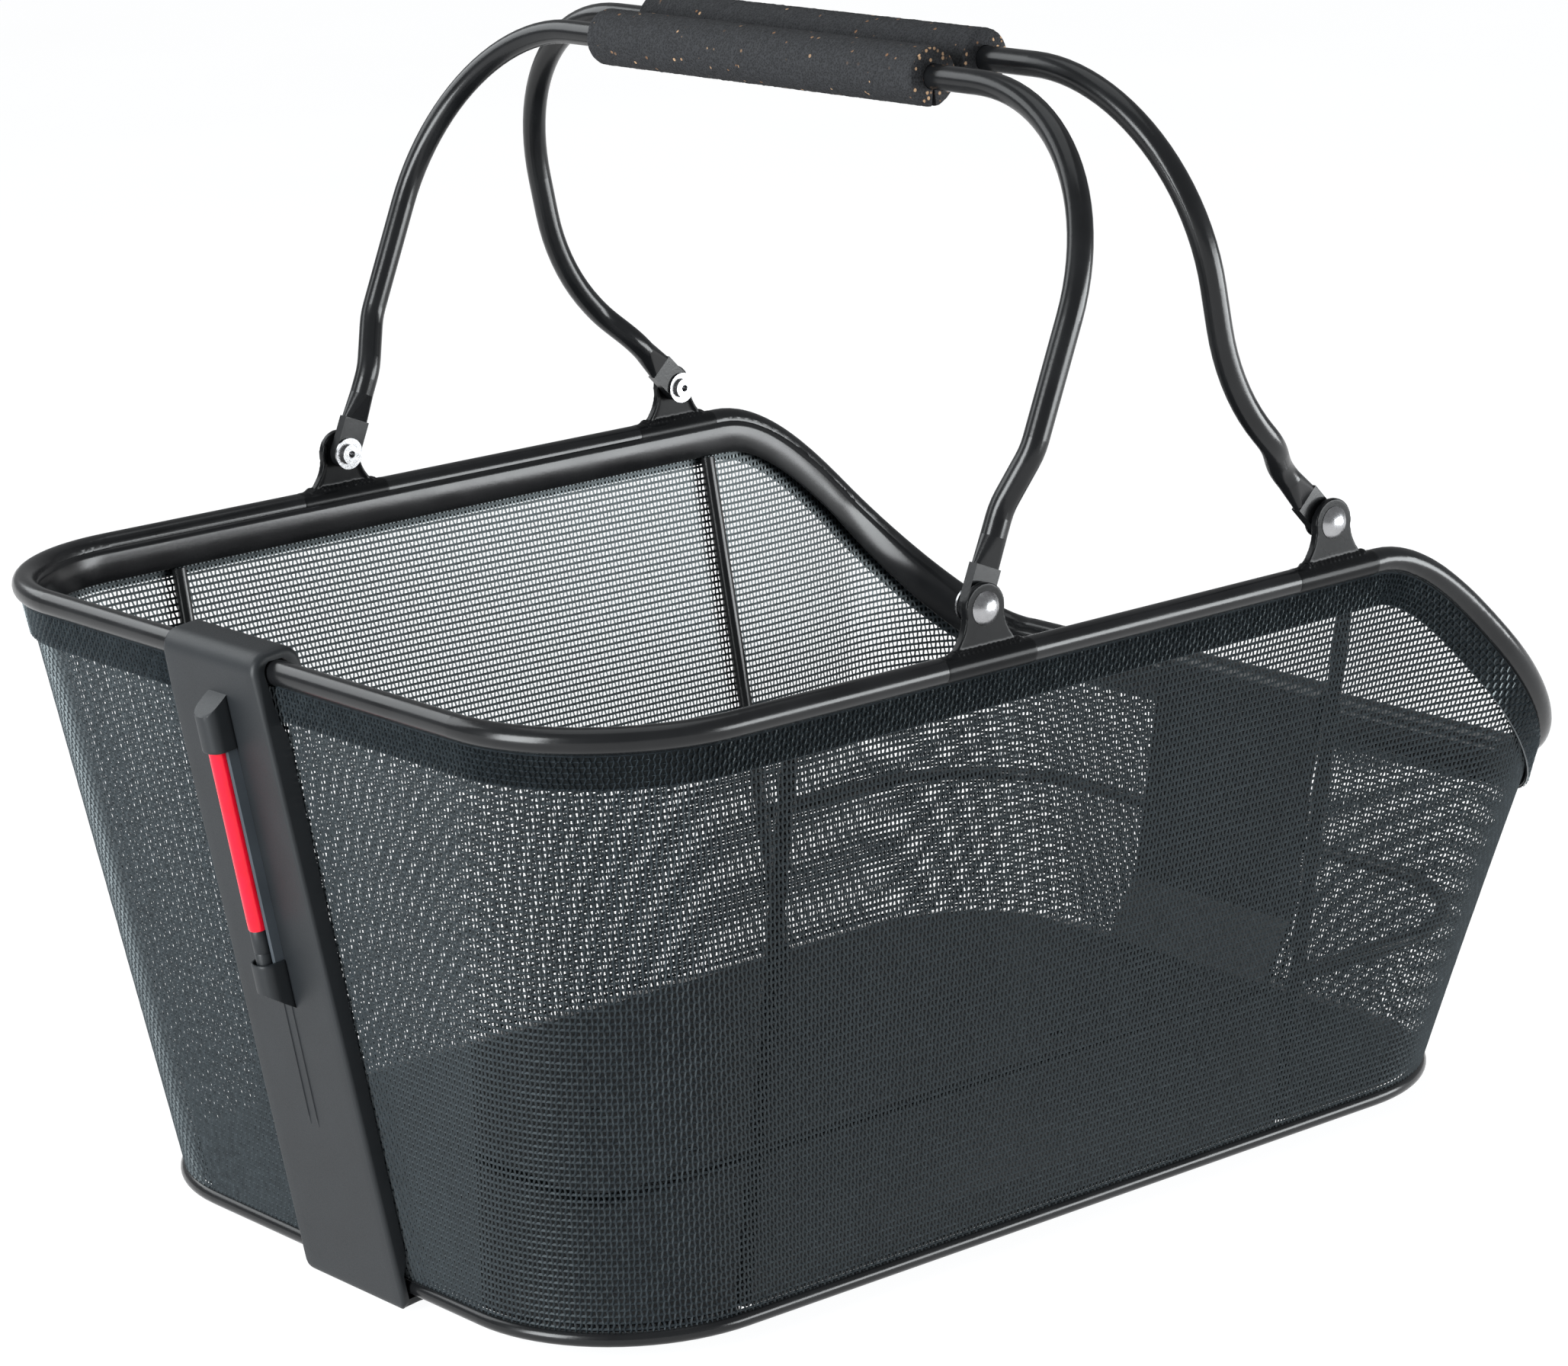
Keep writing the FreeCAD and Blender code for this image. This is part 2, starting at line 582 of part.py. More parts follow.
def bail(points, radii):
    """A bail from its left half: pivot first, grip middle last, with flattened drilled ends."""
    pivot = points[0]
    direction = points[1] - pivot
    direction.normalize()
    side = direction.cross(V(0, 1, 0))
    flat_start = pivot + direction * BAIL_FLAT_LENGTH
    tube_start = flat_start + direction * BAIL_SWELL_LENGTH
    flat = slot_section(flat_start, side, BAIL_END_HALF, (BAIL_END_Y[1] - BAIL_END_Y[0]) / 2)
    round_end = slot_section(tube_start, side, BAIL_TUBE_R + 0.02, BAIL_TUBE_R - 0.02)
    swell = Part.makeLoft([flat, round_end], True, True)
    arm = tube(rounded_path([tube_start] + points[1:], radii), BAIL_TUBE_R)
    half = flat_end(pivot, direction).fuse([swell, arm])
    half = half.cut(disc(PIVOT_HOLE_R, BAIL_END_Y[0] - 1, BAIL_END_Y[1] + 1, pivot.x, pivot.z))
    return half.fuse(mirror_y(half)).removeSplitter()


def bail_points(pivot_x, shape):
    """Corners of a bail's left half, from (forward, y, up) measured at its pivot."""
    return [V(pivot_x + FORWARD + dx, y, PIVOT_HEIGHT + up) for dx, y, up in shape]


def tail_bail_points():
    """The tail-side bail leans towards the saddle in one flat plane."""
    forward, up = math.sin(TAIL_BAIL_LEAN), math.cos(TAIL_BAIL_LEAN)
    places = [(BAIL_END_MID_Y, 0), (BAIL_END_MID_Y, 30), (BAIL_ARM_Y, 48),
              (BAIL_ARM_Y, TAIL_BAIL_REACH), (0, TAIL_BAIL_REACH)]
    return bail_points(TAIL_PIVOT_X, [(forward * r, y, up * r) for y, r in places])


def saddle_bail_points():
    """The saddle-side bail is cranked, so that it can lie along the falling rim."""
    crank_x, crank_z = SADDLE_BAIL_CRANK
    top_x, top_z = SADDLE_BAIL_TOP
    shape = [(0, BAIL_END_MID_Y, 0)]
    for share, y in ((0.40, BAIL_END_MID_Y), (0.60, BAIL_ARM_Y), (1, BAIL_ARM_Y)):
        shape.append((crank_x * share, y, crank_z * share))
    shape += [(top_x, BAIL_ARM_Y, top_z), (top_x, 0, top_z)]
    return bail_points(SADDLE_PIVOT_X, shape)


def grip(points):
    """A foam grip on the bail's straight top, slit along its underside."""
    centre = points[-1]
    low, high = -GRIP_HALF_LENGTH, GRIP_HALF_LENGTH
    foam = disc(GRIP_R, low, high, centre.x, centre.z)
    foam = foam.cut(disc(GRIP_BORE_R, low - 1, high + 1, centre.x, centre.z))
    slit = Part.makeBox(GRIP_SLIT, high - low + 2, GRIP_R + 1,
                        V(centre.x - GRIP_SLIT / 2, low - 1, centre.z - GRIP_R - 1))
    return foam.cut(slit)


# ---------------------------------------------------------------- tail strap and light

def tail_wall_frame():
    """Rim point, ring point, downward and outward directions of the tail wall's middle line."""
    rim = V(-RIM_LENGTH / 2 + FORWARD, 0, RIM_HEIGHT)
    ring = V(RING_FORWARD - RING_LENGTH / 2 + FORWARD, 0, RING_HEIGHT)
    down = ring - rim
    down.normalize()
    outward = V(down.z, 0, -down.x)
    return rim, ring, down, outward


def tail_place(drop, offset):
    """(x, z) of a point in the tail wall's middle plane."""
    rim, _, down, outward = tail_wall_frame()
    point = rim + down * drop + outward * offset
    return (point.x, point.z)


def along_strap(ends, drop):
    """A value between its two ends, at a drop along the strap."""
    return ends[0] + (ends[1] - ends[0]) * drop / STRAP_LOW


def strap_skin(depth):
    """The strap's side view, grown inwards from the outer face: (drop, offset) of both lines."""
    return [tail_place(0, STRAP_FACE[0]), tail_place(STRAP_LOW, STRAP_FACE[1]),
            tail_place(STRAP_LOW, STRAP_FACE[1] - depth), tail_place(0, STRAP_FACE[0] - depth)]


def strap_block(right, left):
    """A slab through the basket's tail between two leaning sides, each given at both ends."""
    x = tail_place(0, 0)[0]
    corners = []
    for ends in (right, left):
        line = [(along_strap(ends, drop), RIM_HEIGHT - drop) for drop in (-20, STRAP_LOW + 20)]
        corners += line if ends is right else line[::-1]
    wire = Part.makePolygon([V(x - 60, y, z) for y, z in corners + corners[:1]])
    return Part.Face(wire).extrude(V(120, 0, 0))


def round_bar(top, back, front, bottom, corner_r):
    """A bar across the tail, its two upper edges rounded."""
    wide = 60.0
    outline = [(bottom, front), (top, front), (top, back), (bottom, back)]
    bar = prism_y([tail_place(*corner) for corner in outline], -wide, wide)
    spots = [tail_place(top, front), tail_place(top, back)]
    edges = [edge for edge in bar.Edges if len(edge.Vertexes) == 2
             and abs(edge.Vertexes[0].Y - edge.Vertexes[1].Y) > wide
             and min(math.hypot(edge.CenterOfMass.x - x, edge.CenterOfMass.z - z)
                     for x, z in spots) < 0.1]
    return bar.makeFillet(corner_r, edges)


def strap_hook():
    """The hook over the rim, and the cheeks that close its two ends down to the tube."""
    front = STRAP_FACE[0]
    outer = round_bar(-HOOK_TOP, -HOOK_BACK, front, 2.0, HOOK_CORNER_R)
    inner = round_bar(STRAP_THICKNESS - HOOK_TOP, STRAP_THICKNESS - HOOK_BACK,
                      front - STRAP_THICKNESS, 4.0, HOOK_CORNER_R - STRAP_THICKNESS)
    x, z = tail_place(0, 0)
    cheek = outer.cut(disc(CHEEK_BORE_R, -70, 70, x, z))
    below = prism_y([tail_place(0, -20), tail_place(0, CHEEK_BORE_R), tail_place(30, CHEEK_BORE_R),
                     tail_place(30, -20)], -70, 70)
    return outer.cut(inner), cheek.cut(below)


def light_axis(drop):
    """A point on the light's axis."""
    x, z = tail_place(drop, along_strap(STRAP_FACE, drop) + LIGHT_LIFT)
    return V(x, along_strap(LIGHT_Y, drop), z)


def light_rod(drop_high, drop_low, radius=LIGHT_R):
    """A stretch of the light's round rod."""
    low, high = light_axis(drop_low), light_axis(drop_high)
    return Part.makeCylinder(radius, (high - low).Length, low, high - low)


def light_bore(drop_high, drop_low):
    """A drill along the light's axis."""
    return light_rod(drop_high, drop_low, LIGHT_BORE_R)


def light_bed(half, top, drops):
    """A bar under the light, from the strap's face outwards: (drop at its top, drop at its foot)."""
    (high_top, high_foot), (low_top, low_foot) = drops
    corners = []
    for drop, lift in ((high_foot, -1.0), (high_top, top), (low_top, top), (low_foot, -1.0)):
        corners.append(tail_place(drop, along_strap(STRAP_FACE, drop) + lift))
    right = [y - half for y in LIGHT_Y]
    left = [y + half for y in LIGHT_Y]
    return prism_y(corners, -60, 60).common(strap_block(right, left))


def tail_strap():
    """The moulded strap: hooks over the rim, carries the light's rail, and hooks under the ring."""
    rim, ring, _, _ = tail_wall_frame()
    length = (ring - rim).Length
    face = prism_y(strap_skin(STRAP_THICKNESS), -60, 60)
    front = STRAP_FACE[1]
    sole = prism_y([tail_place(length + RING_ROD_R + 2.2, front), tail_place(STRAP_LOW, front),
                    tail_place(STRAP_LOW, -5.0), tail_place(length + RING_ROD_R + 2.2, -5.0)], -60, 60)
    toe = prism_y([tail_place(length + 0.5, -3.2), tail_place(STRAP_LOW, -3.2),
                   tail_place(STRAP_LOW, -5.2), tail_place(length + 0.5, -5.2)], -60, 60)
    hook, cheek = strap_hook()
    hem, mesh = STRAP_SIDE_DEPTH
    wall = prism_y([tail_place(-0.5, STRAP_FACE[0] - 1), tail_place(length - 4, front - 1),
                    tail_place(length - 4, mesh), tail_place(19, mesh), tail_place(16.5, hem),
                    tail_place(5, hem + 1.6), tail_place(-0.5, hem + 2.1)], -60, 60)
    outline = strap_block(STRAP_RIGHT_Y, STRAP_LEFT_Y)
    inset = STRAP_SIDE_THICKNESS
    core = strap_block([y + inset for y in STRAP_RIGHT_Y], [y - inset for y in STRAP_LEFT_Y])
    sides = wall.fuse(cheek).common(outline).cut(core)
    rail = light_bed(RAIL_HALF, RAIL_TOP, ((UPPER_SOCKET[0] + 0.1,) * 2, (LOWER_SOCKET[0] - 0.1,) * 2))
    rail = rail.cut(light_bore(UPPER_SOCKET[0] - 5, LOWER_SOCKET[0] + 5))
    body = face.fuse([hook, sole, toe]).common(outline)
    return body.fuse([sides, rail]).removeSplitter()


def light_socket(drops):
    """A block on the strap that holds one end of the light, sloped down to the strap's face."""
    mouth, slope_top, slope_foot = drops
    upper = mouth > slope_top
    ends = ((slope_top, slope_foot), (mouth, mouth)) if upper else ((mouth, mouth), (slope_top, slope_foot))
    block = light_bed(SOCKET_HALF, SOCKET_TOP, ends)
    middle = (mouth + slope_top) / 2
    crest = tail_place(middle, along_strap(STRAP_FACE, middle) + SOCKET_TOP)
    long_edges = [edge for edge in block.Edges
                  if math.hypot(edge.CenterOfMass.x - crest[0], edge.CenterOfMass.z - crest[1]) < 1.0
                  and abs(edge.Vertexes[0].Z - edge.Vertexes[1].Z) > 5]
    block = block.makeFillet(SOCKET_EDGE_R, long_edges)
    deep = LIGHT_DROP[0] - 0.2 if upper else LIGHT_DROP[2] + 0.2
    bore = light_bore(deep, mouth + 5) if upper else light_bore(mouth - 5, deep)
    clear = 0.1
    front = prism_y([tail_place(-30, STRAP_FACE[0] + 0.4 + clear),
                     tail_place(235, STRAP_FACE[1] - 0.4 + clear),
                     tail_place(235, 60), tail_place(-30, 60)], -60, 60)
    return block.cut(bore).common(front).removeSplitter()


# ---------------------------------------------------------------- write every node

def main():
    os.makedirs("parts", exist_ok=True)
    save("rim_tube", rim_tube())
    save("rim_flange", rim_band(FLANGE_DROP, FLANGE_OFFSET))
    save("mesh_wall", mesh_wall())
    save("mesh_hem", rim_band(HEM_DROP, HEM_OFFSET))
    save("bottom_ring", bottom_ring())
    save("floor_pan", floor_pan())
    save("floor_feet", floor_feet())
    save("carrier_plate", carrier_plate())
    save("end_hoop", end_hoop())
    for side, side_name in ((1, "left"), (-1, "right")):
        save("rib_tail_" + side_name, side_rib(RIB_X[0], side))
        save("rib_saddle_" + side_name, side_rib(RIB_X[1], side))
        save("ear_tail_" + side_name, ear(TAIL_PIVOT_X, side))
        save("ear_saddle_" + side_name, ear(SADDLE_PIVOT_X, side))
    save("pivot_rivets", on_both_sides(rivet))
    save("rivet_washers", on_both_sides(lambda x: ring_y(WASHER_R, WASHER_Y, x)))
    save("pivot_spacers", on_both_sides(lambda x: ring_y(SPACER_R, SPACER_Y, x)))
    save("tail_strap", tail_strap())
    save("light_socket_upper", light_socket(UPPER_SOCKET))
    save("light_socket_lower", light_socket(LOWER_SOCKET))
    save("light_tube", light_rod(LIGHT_DROP[0], LIGHT_DROP[1]))
    save("light_sleeve", light_rod(LIGHT_DROP[1] + 0.1, LIGHT_DROP[2], LIGHT_R - 0.1))
    save("tail_bail", bail(tail_bail_points(), TAIL_BAIL_RADII))
    save("saddle_bail", bail(saddle_bail_points(), SADDLE_BAIL_RADII))
    save("tail_grip", grip(tail_bail_points()))
    save("saddle_grip", grip(saddle_bail_points()))


main()
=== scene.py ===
import math

import bmesh
import bpy
import numpy as np
from mathutils import Matrix, Vector, noise


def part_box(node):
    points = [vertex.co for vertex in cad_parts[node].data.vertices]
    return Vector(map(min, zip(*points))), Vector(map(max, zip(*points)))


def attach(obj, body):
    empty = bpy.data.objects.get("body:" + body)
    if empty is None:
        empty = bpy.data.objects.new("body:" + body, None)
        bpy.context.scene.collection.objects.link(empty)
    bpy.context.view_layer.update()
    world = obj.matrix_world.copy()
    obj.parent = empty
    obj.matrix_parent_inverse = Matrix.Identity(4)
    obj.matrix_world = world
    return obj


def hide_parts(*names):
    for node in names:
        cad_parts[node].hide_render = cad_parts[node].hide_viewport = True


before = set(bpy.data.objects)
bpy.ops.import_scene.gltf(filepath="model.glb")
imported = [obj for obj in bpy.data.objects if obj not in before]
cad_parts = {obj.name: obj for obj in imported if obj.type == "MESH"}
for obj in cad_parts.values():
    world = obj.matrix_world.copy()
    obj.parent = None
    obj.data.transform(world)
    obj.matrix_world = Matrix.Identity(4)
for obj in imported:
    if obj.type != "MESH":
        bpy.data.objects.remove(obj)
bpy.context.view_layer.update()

MM = 0.001

# ------------------------------------------------------------------ dimensions, in millimetres

FORWARD = 4.7
RIM_LENGTH, RIM_WIDTH, RIM_HEIGHT = 425.0, 330.0, 204.2
TAIL_RADIUS, SADDLE_RADIUS = 56.0, 51.0
DIP_START, DIP_RUN, DIP_DEPTH = 104.6, 132.8, 90.6
RING_LENGTH, RING_WIDTH, RING_RADIUS = 384.4, 258.6, 56.6
RING_FORWARD, RING_HEIGHT = 3.1, 7.5

COLUMN_PITCH = 1.65
ROW_PITCH = 2.2
THREAD_SWING = 0.24
UPRIGHT_HALF, PICK_HALF = 0.39, 0.46   # half widths of the upright and the level threads
UPRIGHT_DEPTH, PICK_DEPTH = 0.46, 0.42
UPRIGHT_LIFT, PICK_LIFT = 0.20, 0.10   # how far out of the wall's surface they lie
PICK_STEP = 3                          # a level thread's points come at every third upright
MESH_FOOT, MESH_TOP_DROP = 8.6, 3.6    # lowest row's height, and how far below the rim the rows end

HEM_DROPS = (4.1, 14.9, 1.75)          # first and last row below the rim, and their pitch
HEM_SWING, HEM_UPRIGHT_HALF, HEM_PICK_HALF = 0.34, 0.24, 0.26
HEM_UPRIGHT_DEPTH, HEM_UPRIGHT_LIFT, HEM_PICK_LIFT = 0.62, 1.62, 1.45

PIVOT_HEIGHT = 220.2
PIVOTS = {"tail": -61.3 + FORWARD, "saddle": 84.6 + FORWARD}

STRAP_THICKNESS, STRAP_WALL, STRAP_LOW = 2.5, 2.0, 204.9   # its face, side walls and lower end
STRAP_FACE = (8.8, 6.0)                # how far out its face lies, at the rim and at its lower end
STRAP_RIGHT_Y, STRAP_LEFT_Y = (-19.4, -39.0), (30.8, 14.5)
HOOK_TOP, HOOK_BACK, HOOK_CORNER_R, CHEEK_BORE_R, TOE_BACK = 7.1, 9.3, 6.4, 4.8, -5.15
LIGHT_R, LIGHT_LIFT, LIGHT_Y = 3.0, 4.3, (3.15, -10.29)
LIGHT_DROP = (14.0, 82.4, 97.0)        # its upper end, the red's lower end, its lower end
RAIL_HALF, RAIL_TOP = 4.1, 3.7
SOCKET_HALF, SOCKET_TOP = 4.9, 8.5
RIB_OFFSET, RIB_LENGTH = 2.15, 40.0    # the fine ribs below the light
UPPER_SOCKET = (24.5, 12.6, 7.2)       # drops of its mouth, of its slope's crest and foot
LOWER_SOCKET = (92.8, 102.4, 108.9)

GRIP_RADIUS, GRIP_BORE, GRIP_HALF_LENGTH = 9.3, 4.1, 81.0
GRIP_SLIT_ANGLE = 0.10                 # half the slit under a grip, in radians

EAR_Y = 165.0                          # the ears' middle plane; their own Y is measured out from it
EAR_FACE, EAR_FOLD = (-1.2, 1.0), -1.7 # both faces of the plate, and how far in its folded edges reach
EAR_HALF_FOOT, EAR_FOOT_Z, EAR_TOP_R = 13.0, -12.4, 7.6


# ------------------------------------------------------------------ mesh helpers

def make_mesh(name, points, faces, material, smooth=True):
    """A mesh object from points in millimetres and a list of faces."""
    mesh = bpy.data.meshes.new(name)
    mesh.from_pydata([tuple(p) for p in np.asarray(points) * MM], [], faces)
    return finish_mesh(name, mesh, material, smooth)


def make_quads(name, points, quads, triangles, material, smooth=False):
    """A large mesh from arrays: points in millimetres, four-cornered and three-cornered faces."""
    mesh = bpy.data.meshes.new(name)
    loops = np.concatenate([quads.ravel(), triangles.ravel()]).astype(np.int32)
    starts = np.concatenate([np.arange(len(quads)) * 4,
                             len(quads) * 4 + np.arange(len(triangles)) * 3]).astype(np.int32)
    mesh.vertices.add(len(points))
    mesh.vertices.foreach_set("co", (points * MM).astype(np.float32).ravel())
    mesh.loops.add(len(loops))
    mesh.loops.foreach_set("vertex_index", loops)
    mesh.polygons.add(len(starts))
    mesh.polygons.foreach_set("loop_start", starts)
    mesh.update(calc_edges=True)
    mesh.validate()
    return finish_mesh(name, mesh, material, smooth)


def finish_mesh(name, mesh, material, smooth):
    """Links a mesh as an object with one material."""
    mesh.materials.append(material)
    mesh.polygons.foreach_set("use_smooth", [smooth] * len(mesh.polygons))
    piece = bpy.data.objects.new(name, mesh)
    bpy.context.scene.collection.objects.link(piece)
    return piece


def apply_modifiers(piece):
    """Bakes a piece's modifiers into its mesh."""
    graph = bpy.context.evaluated_depsgraph_get()
    baked = bpy.data.meshes.new_from_object(piece.evaluated_get(graph))
    old = piece.data
    piece.modifiers.clear()
    piece.data = baked
    bpy.data.meshes.remove(old)


def smooth_by_angle(piece, angle=35):
    """Smooth shading, with edges sharper than the angle kept sharp."""
    work = bmesh.new()
    work.from_mesh(piece.data)
    for face in work.faces:
        face.smooth = True
    for edge in work.edges:
        edge.smooth = len(edge.link_faces) == 2 and edge.calc_face_angle(0) < math.radians(angle)
    work.to_mesh(piece.data)
    work.free()


def outward_normals(piece):
    """Turns every face outwards."""
    work = bmesh.new()
    work.from_mesh(piece.data)
    bmesh.ops.recalc_face_normals(work, faces=work.faces)
    work.to_mesh(piece.data)
    work.free()


def stand_in(piece, node, body):
    """Puts a piece on a body in place of a CAD node."""
    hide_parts(node)
    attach(piece, body)
    return piece


def unit(vectors):
    """Vectors scaled to length one."""
    return vectors / np.linalg.norm(vectors, axis=-1, keepdims=True)


def strands(lines, side, out, valid):
    """Three-sided threads along lines of points: (points, quads, triangles).

    lines is (threads, points, 3); side and out are the half width and the depth as vectors;
    valid marks the points that exist, and each run of them gets closed ends.
    """
    corners = np.stack([lines - side, lines + side, lines + out], axis=2)
    count, length = lines.shape[:2]
    index = np.arange(count * length * 3).reshape(count, length, 3)
    both = valid[:, :-1] & valid[:, 1:]
    quads = []
    for a, b in ((0, 1), (1, 2), (2, 0)):
        quad = np.stack([index[:, :-1, a], index[:, :-1, b], index[:, 1:, b], index[:, 1:, a]], -1)
        quads.append(quad[both])
    started = both.copy()
    started[:, 1:] &= ~both[:, :-1]
    ended = both.copy()
    ended[:, :-1] &= ~both[:, 1:]
    caps = [index[:, :-1][started][:, ::-1], index[:, 1:][ended]]
    return corners.reshape(-1, 3), np.concatenate(quads), np.concatenate(caps)


def join_arrays(parts):
    """Several (points, quads, triangles) as one, without unused points."""
    points, quads, triangles, base = [], [], [], 0
    for p, q, t in parts:
        points.append(p)
        quads.append(q + base)
        triangles.append(t + base)
        base += len(p)
    points, quads, triangles = (np.concatenate(a) for a in (points, quads, triangles))
    used = np.zeros(len(points), bool)
    used[quads.ravel()] = True
    renumber = np.cumsum(used) - 1
    return points[used], renumber[quads], renumber[triangles]


# ------------------------------------------------------------------ the wall between rim and ring

TAIL_END = RIM_WIDTH / 2 - TAIL_RADIUS
TAIL_TURN = TAIL_RADIUS * math.pi / 2
SIDE = RIM_LENGTH - TAIL_RADIUS - SADDLE_RADIUS
SADDLE_TURN = SADDLE_RADIUS * math.pi / 2
SADDLE_END = RIM_WIDTH / 2 - SADDLE_RADIUS
MARKS = np.cumsum([0, TAIL_END, TAIL_TURN, SIDE, SADDLE_TURN, SADDLE_END])
HALF = MARKS[-1]


def rim_and_ring(distance):
    """Rim and ring points at distances round the rim in plan, from the tail's middle by way of -Y."""
    distance = np.mod(distance, 2 * HALF)
    far = distance > HALF
    t = np.where(far, 2 * HALF - distance, distance)
    half_l, half_w = RIM_LENGTH / 2, RIM_WIDTH / 2
    ring_l, ring_w = RING_LENGTH / 2, RING_WIDTH / 2
    flat_l, flat_w = ring_l - RING_RADIUS, ring_w - RING_RADIUS
    tail_angle = math.pi / 2 - np.clip((t - MARKS[1]) / TAIL_RADIUS, 0, math.pi / 2)
    saddle_angle = np.clip((t - MARKS[3]) / SADDLE_RADIUS, 0, math.pi / 2)
    share = np.clip((t - MARKS[2]) / SIDE, 0, 1)
    end_share = np.clip(t / TAIL_END, 0, 1)
    last_share = 1 - np.clip((t - MARKS[4]) / SADDLE_END, 0, 1)
    part = np.searchsorted(MARKS[1:5], t, side="right")
    rim_x = np.choose(part, [
        -half_l + 0 * t, -(half_l - TAIL_RADIUS) - TAIL_RADIUS * np.sin(tail_angle),
        -half_l + TAIL_RADIUS + share * SIDE,
        half_l - SADDLE_RADIUS + SADDLE_RADIUS * np.sin(saddle_angle), half_l + 0 * t])
    rim_y = np.choose(part, [
        -end_share * TAIL_END, -(half_w - TAIL_RADIUS) - TAIL_RADIUS * np.cos(tail_angle),
        -half_w + 0 * t, -(half_w - SADDLE_RADIUS) - SADDLE_RADIUS * np.cos(saddle_angle),
        -last_share * SADDLE_END])
    ring_x = RING_FORWARD + np.choose(part, [
        -ring_l + 0 * t, -flat_l - RING_RADIUS * np.sin(tail_angle), -flat_l + share * 2 * flat_l,
        flat_l + RING_RADIUS * np.sin(saddle_angle), ring_l + 0 * t])
    ring_y = np.choose(part, [
        -end_share * flat_w, -flat_w - RING_RADIUS * np.cos(tail_angle), -ring_w + 0 * t,
        -flat_w - RING_RADIUS * np.cos(saddle_angle), -last_share * flat_w])
    fall = np.clip((t - MARKS[2] - (DIP_START + half_l - TAIL_RADIUS)) / DIP_RUN, 0, 1)
    rim_z = RIM_HEIGHT - DIP_DEPTH * fall * fall * (3 - 2 * fall)
    side = np.where(far, -1.0, 1.0)
    rim = np.stack([rim_x + FORWARD, rim_y * side, rim_z], -1)
    ring = np.stack([ring_x + FORWARD, ring_y * side, RING_HEIGHT + 0 * t], -1)
    return rim, ring


def wall_frame(distance):
    """Rim, ring, their headings, and the wall's downward and outward directions at the rim."""
    step = 0.5
    rim, ring = rim_and_ring(distance)
    ahead_rim, ahead_ring = rim_and_ring(distance + step)
    back_rim, back_ring = rim_and_ring(distance - step)
    rim_heading = unit(ahead_rim - back_rim)
    ring_heading = unit(ahead_ring - back_ring)
    down = ring - rim
    square = down - rim_heading * (down * rim_heading).sum(-1, keepdims=True)
    square = unit(square)
    out = np.cross(square, rim_heading)
    return rim, ring, rim_heading, ring_heading, square, out


def wall_panel(name, first, last, columns, material):
    """One panel of the stretched mesh, woven from separate threads."""
    rng = np.random.default_rng(11 + first)
    distance = (np.arange(first, last + 1) % columns) * (2 * HALF / columns)
    rim, ring, rim_heading, ring_heading, _, _ = wall_frame(distance)
    rows = np.arange(MESH_FOOT, RIM_HEIGHT + ROW_PITCH, ROW_PITCH)
    top = rim[:, 2] - MESH_TOP_DROP
    height = np.minimum(rows[None, :], top[:, None])
    share = ((rim[:, 2:3] - height) / (rim[:, 2:3] - ring[:, 2:3]))[..., None]
    place = rim[:, None] + share * (ring - rim)[:, None]
    heading = unit((1 - share) * rim_heading[:, None] + share * ring_heading[:, None])
    out = unit(np.cross((ring - rim)[:, None], heading))
    below = np.concatenate([np.ones((len(distance), 1), bool), rows[None, :-1] < top[:, None]], 1)
    number = np.arange(first, last + 1)[:, None] + np.arange(len(rows))[None, :]
    zigzag = (THREAD_SWING * (-1.0) ** number + rng.normal(0, 0.03, number.shape))[..., None]
    upright = place + heading * zigzag + out * (UPRIGHT_LIFT + rng.normal(0, 0.02, zigzag.shape))
    up = strands(upright[:-1], heading[:-1] * UPRIGHT_HALF, out[:-1] * UPRIGHT_DEPTH, below[:-1])
    picks = np.unique(np.append(np.arange(0, len(distance), PICK_STEP), len(distance) - 1))
    across = (place + out * PICK_LIFT)[picks].transpose(1, 0, 2)
    lift = np.array([0, 0, PICK_HALF])
    level = (rows[None, :] < top[:, None])[picks].T
    over = strands(across, np.broadcast_to(-lift, across.shape),
                   out[picks].transpose(1, 0, 2) * PICK_DEPTH, level)
    points, quads, triangles = join_arrays([up, over])
    piece = make_quads(name, points, quads, triangles, material)
    stand_in(piece, "mesh_wall", "basket")
    return piece


def hem_weave(name, columns, material):
    """The outer layer of the hem: the mesh turned back over the rim's flange."""
    rng = np.random.default_rng(5)
    distance = np.arange(columns + 1) % columns * (2 * HALF / columns)
    rim, _, heading, _, down, out = wall_frame(distance)
    drops = np.arange(*HEM_DROPS)
    number = np.arange(columns + 1)[:, None] + np.arange(len(drops))[None, :]
    place = rim[:, None] + down[:, None] * drops[None, :, None]
    zigzag = (HEM_SWING * (-1.0) ** number + rng.normal(0, 0.04, number.shape))[..., None]
    upright = place + heading[:, None] * zigzag + out[:, None] * HEM_UPRIGHT_LIFT
    always = np.ones(number.shape, bool)
    shape = upright[:-1].shape
    up = strands(upright[:-1], np.broadcast_to(heading[:-1, None] * HEM_UPRIGHT_HALF, shape),
                 np.broadcast_to(out[:-1, None] * HEM_UPRIGHT_DEPTH, shape), always[:-1])
    picks = np.append(np.arange(0, columns, PICK_STEP), columns)
    across = (place + out[:, None] * HEM_PICK_LIFT)[picks].transpose(1, 0, 2)
    over = strands(across, np.broadcast_to(down[picks][None] * HEM_PICK_HALF, across.shape),
                   np.broadcast_to(out[picks][None] * PICK_DEPTH, across.shape),
                   np.ones(across.shape[:2], bool))
    points, quads, triangles = join_arrays([up, over])
    piece = make_quads(name, points, quads, triangles, material)
    return stand_in(piece, "mesh_hem", "basket")


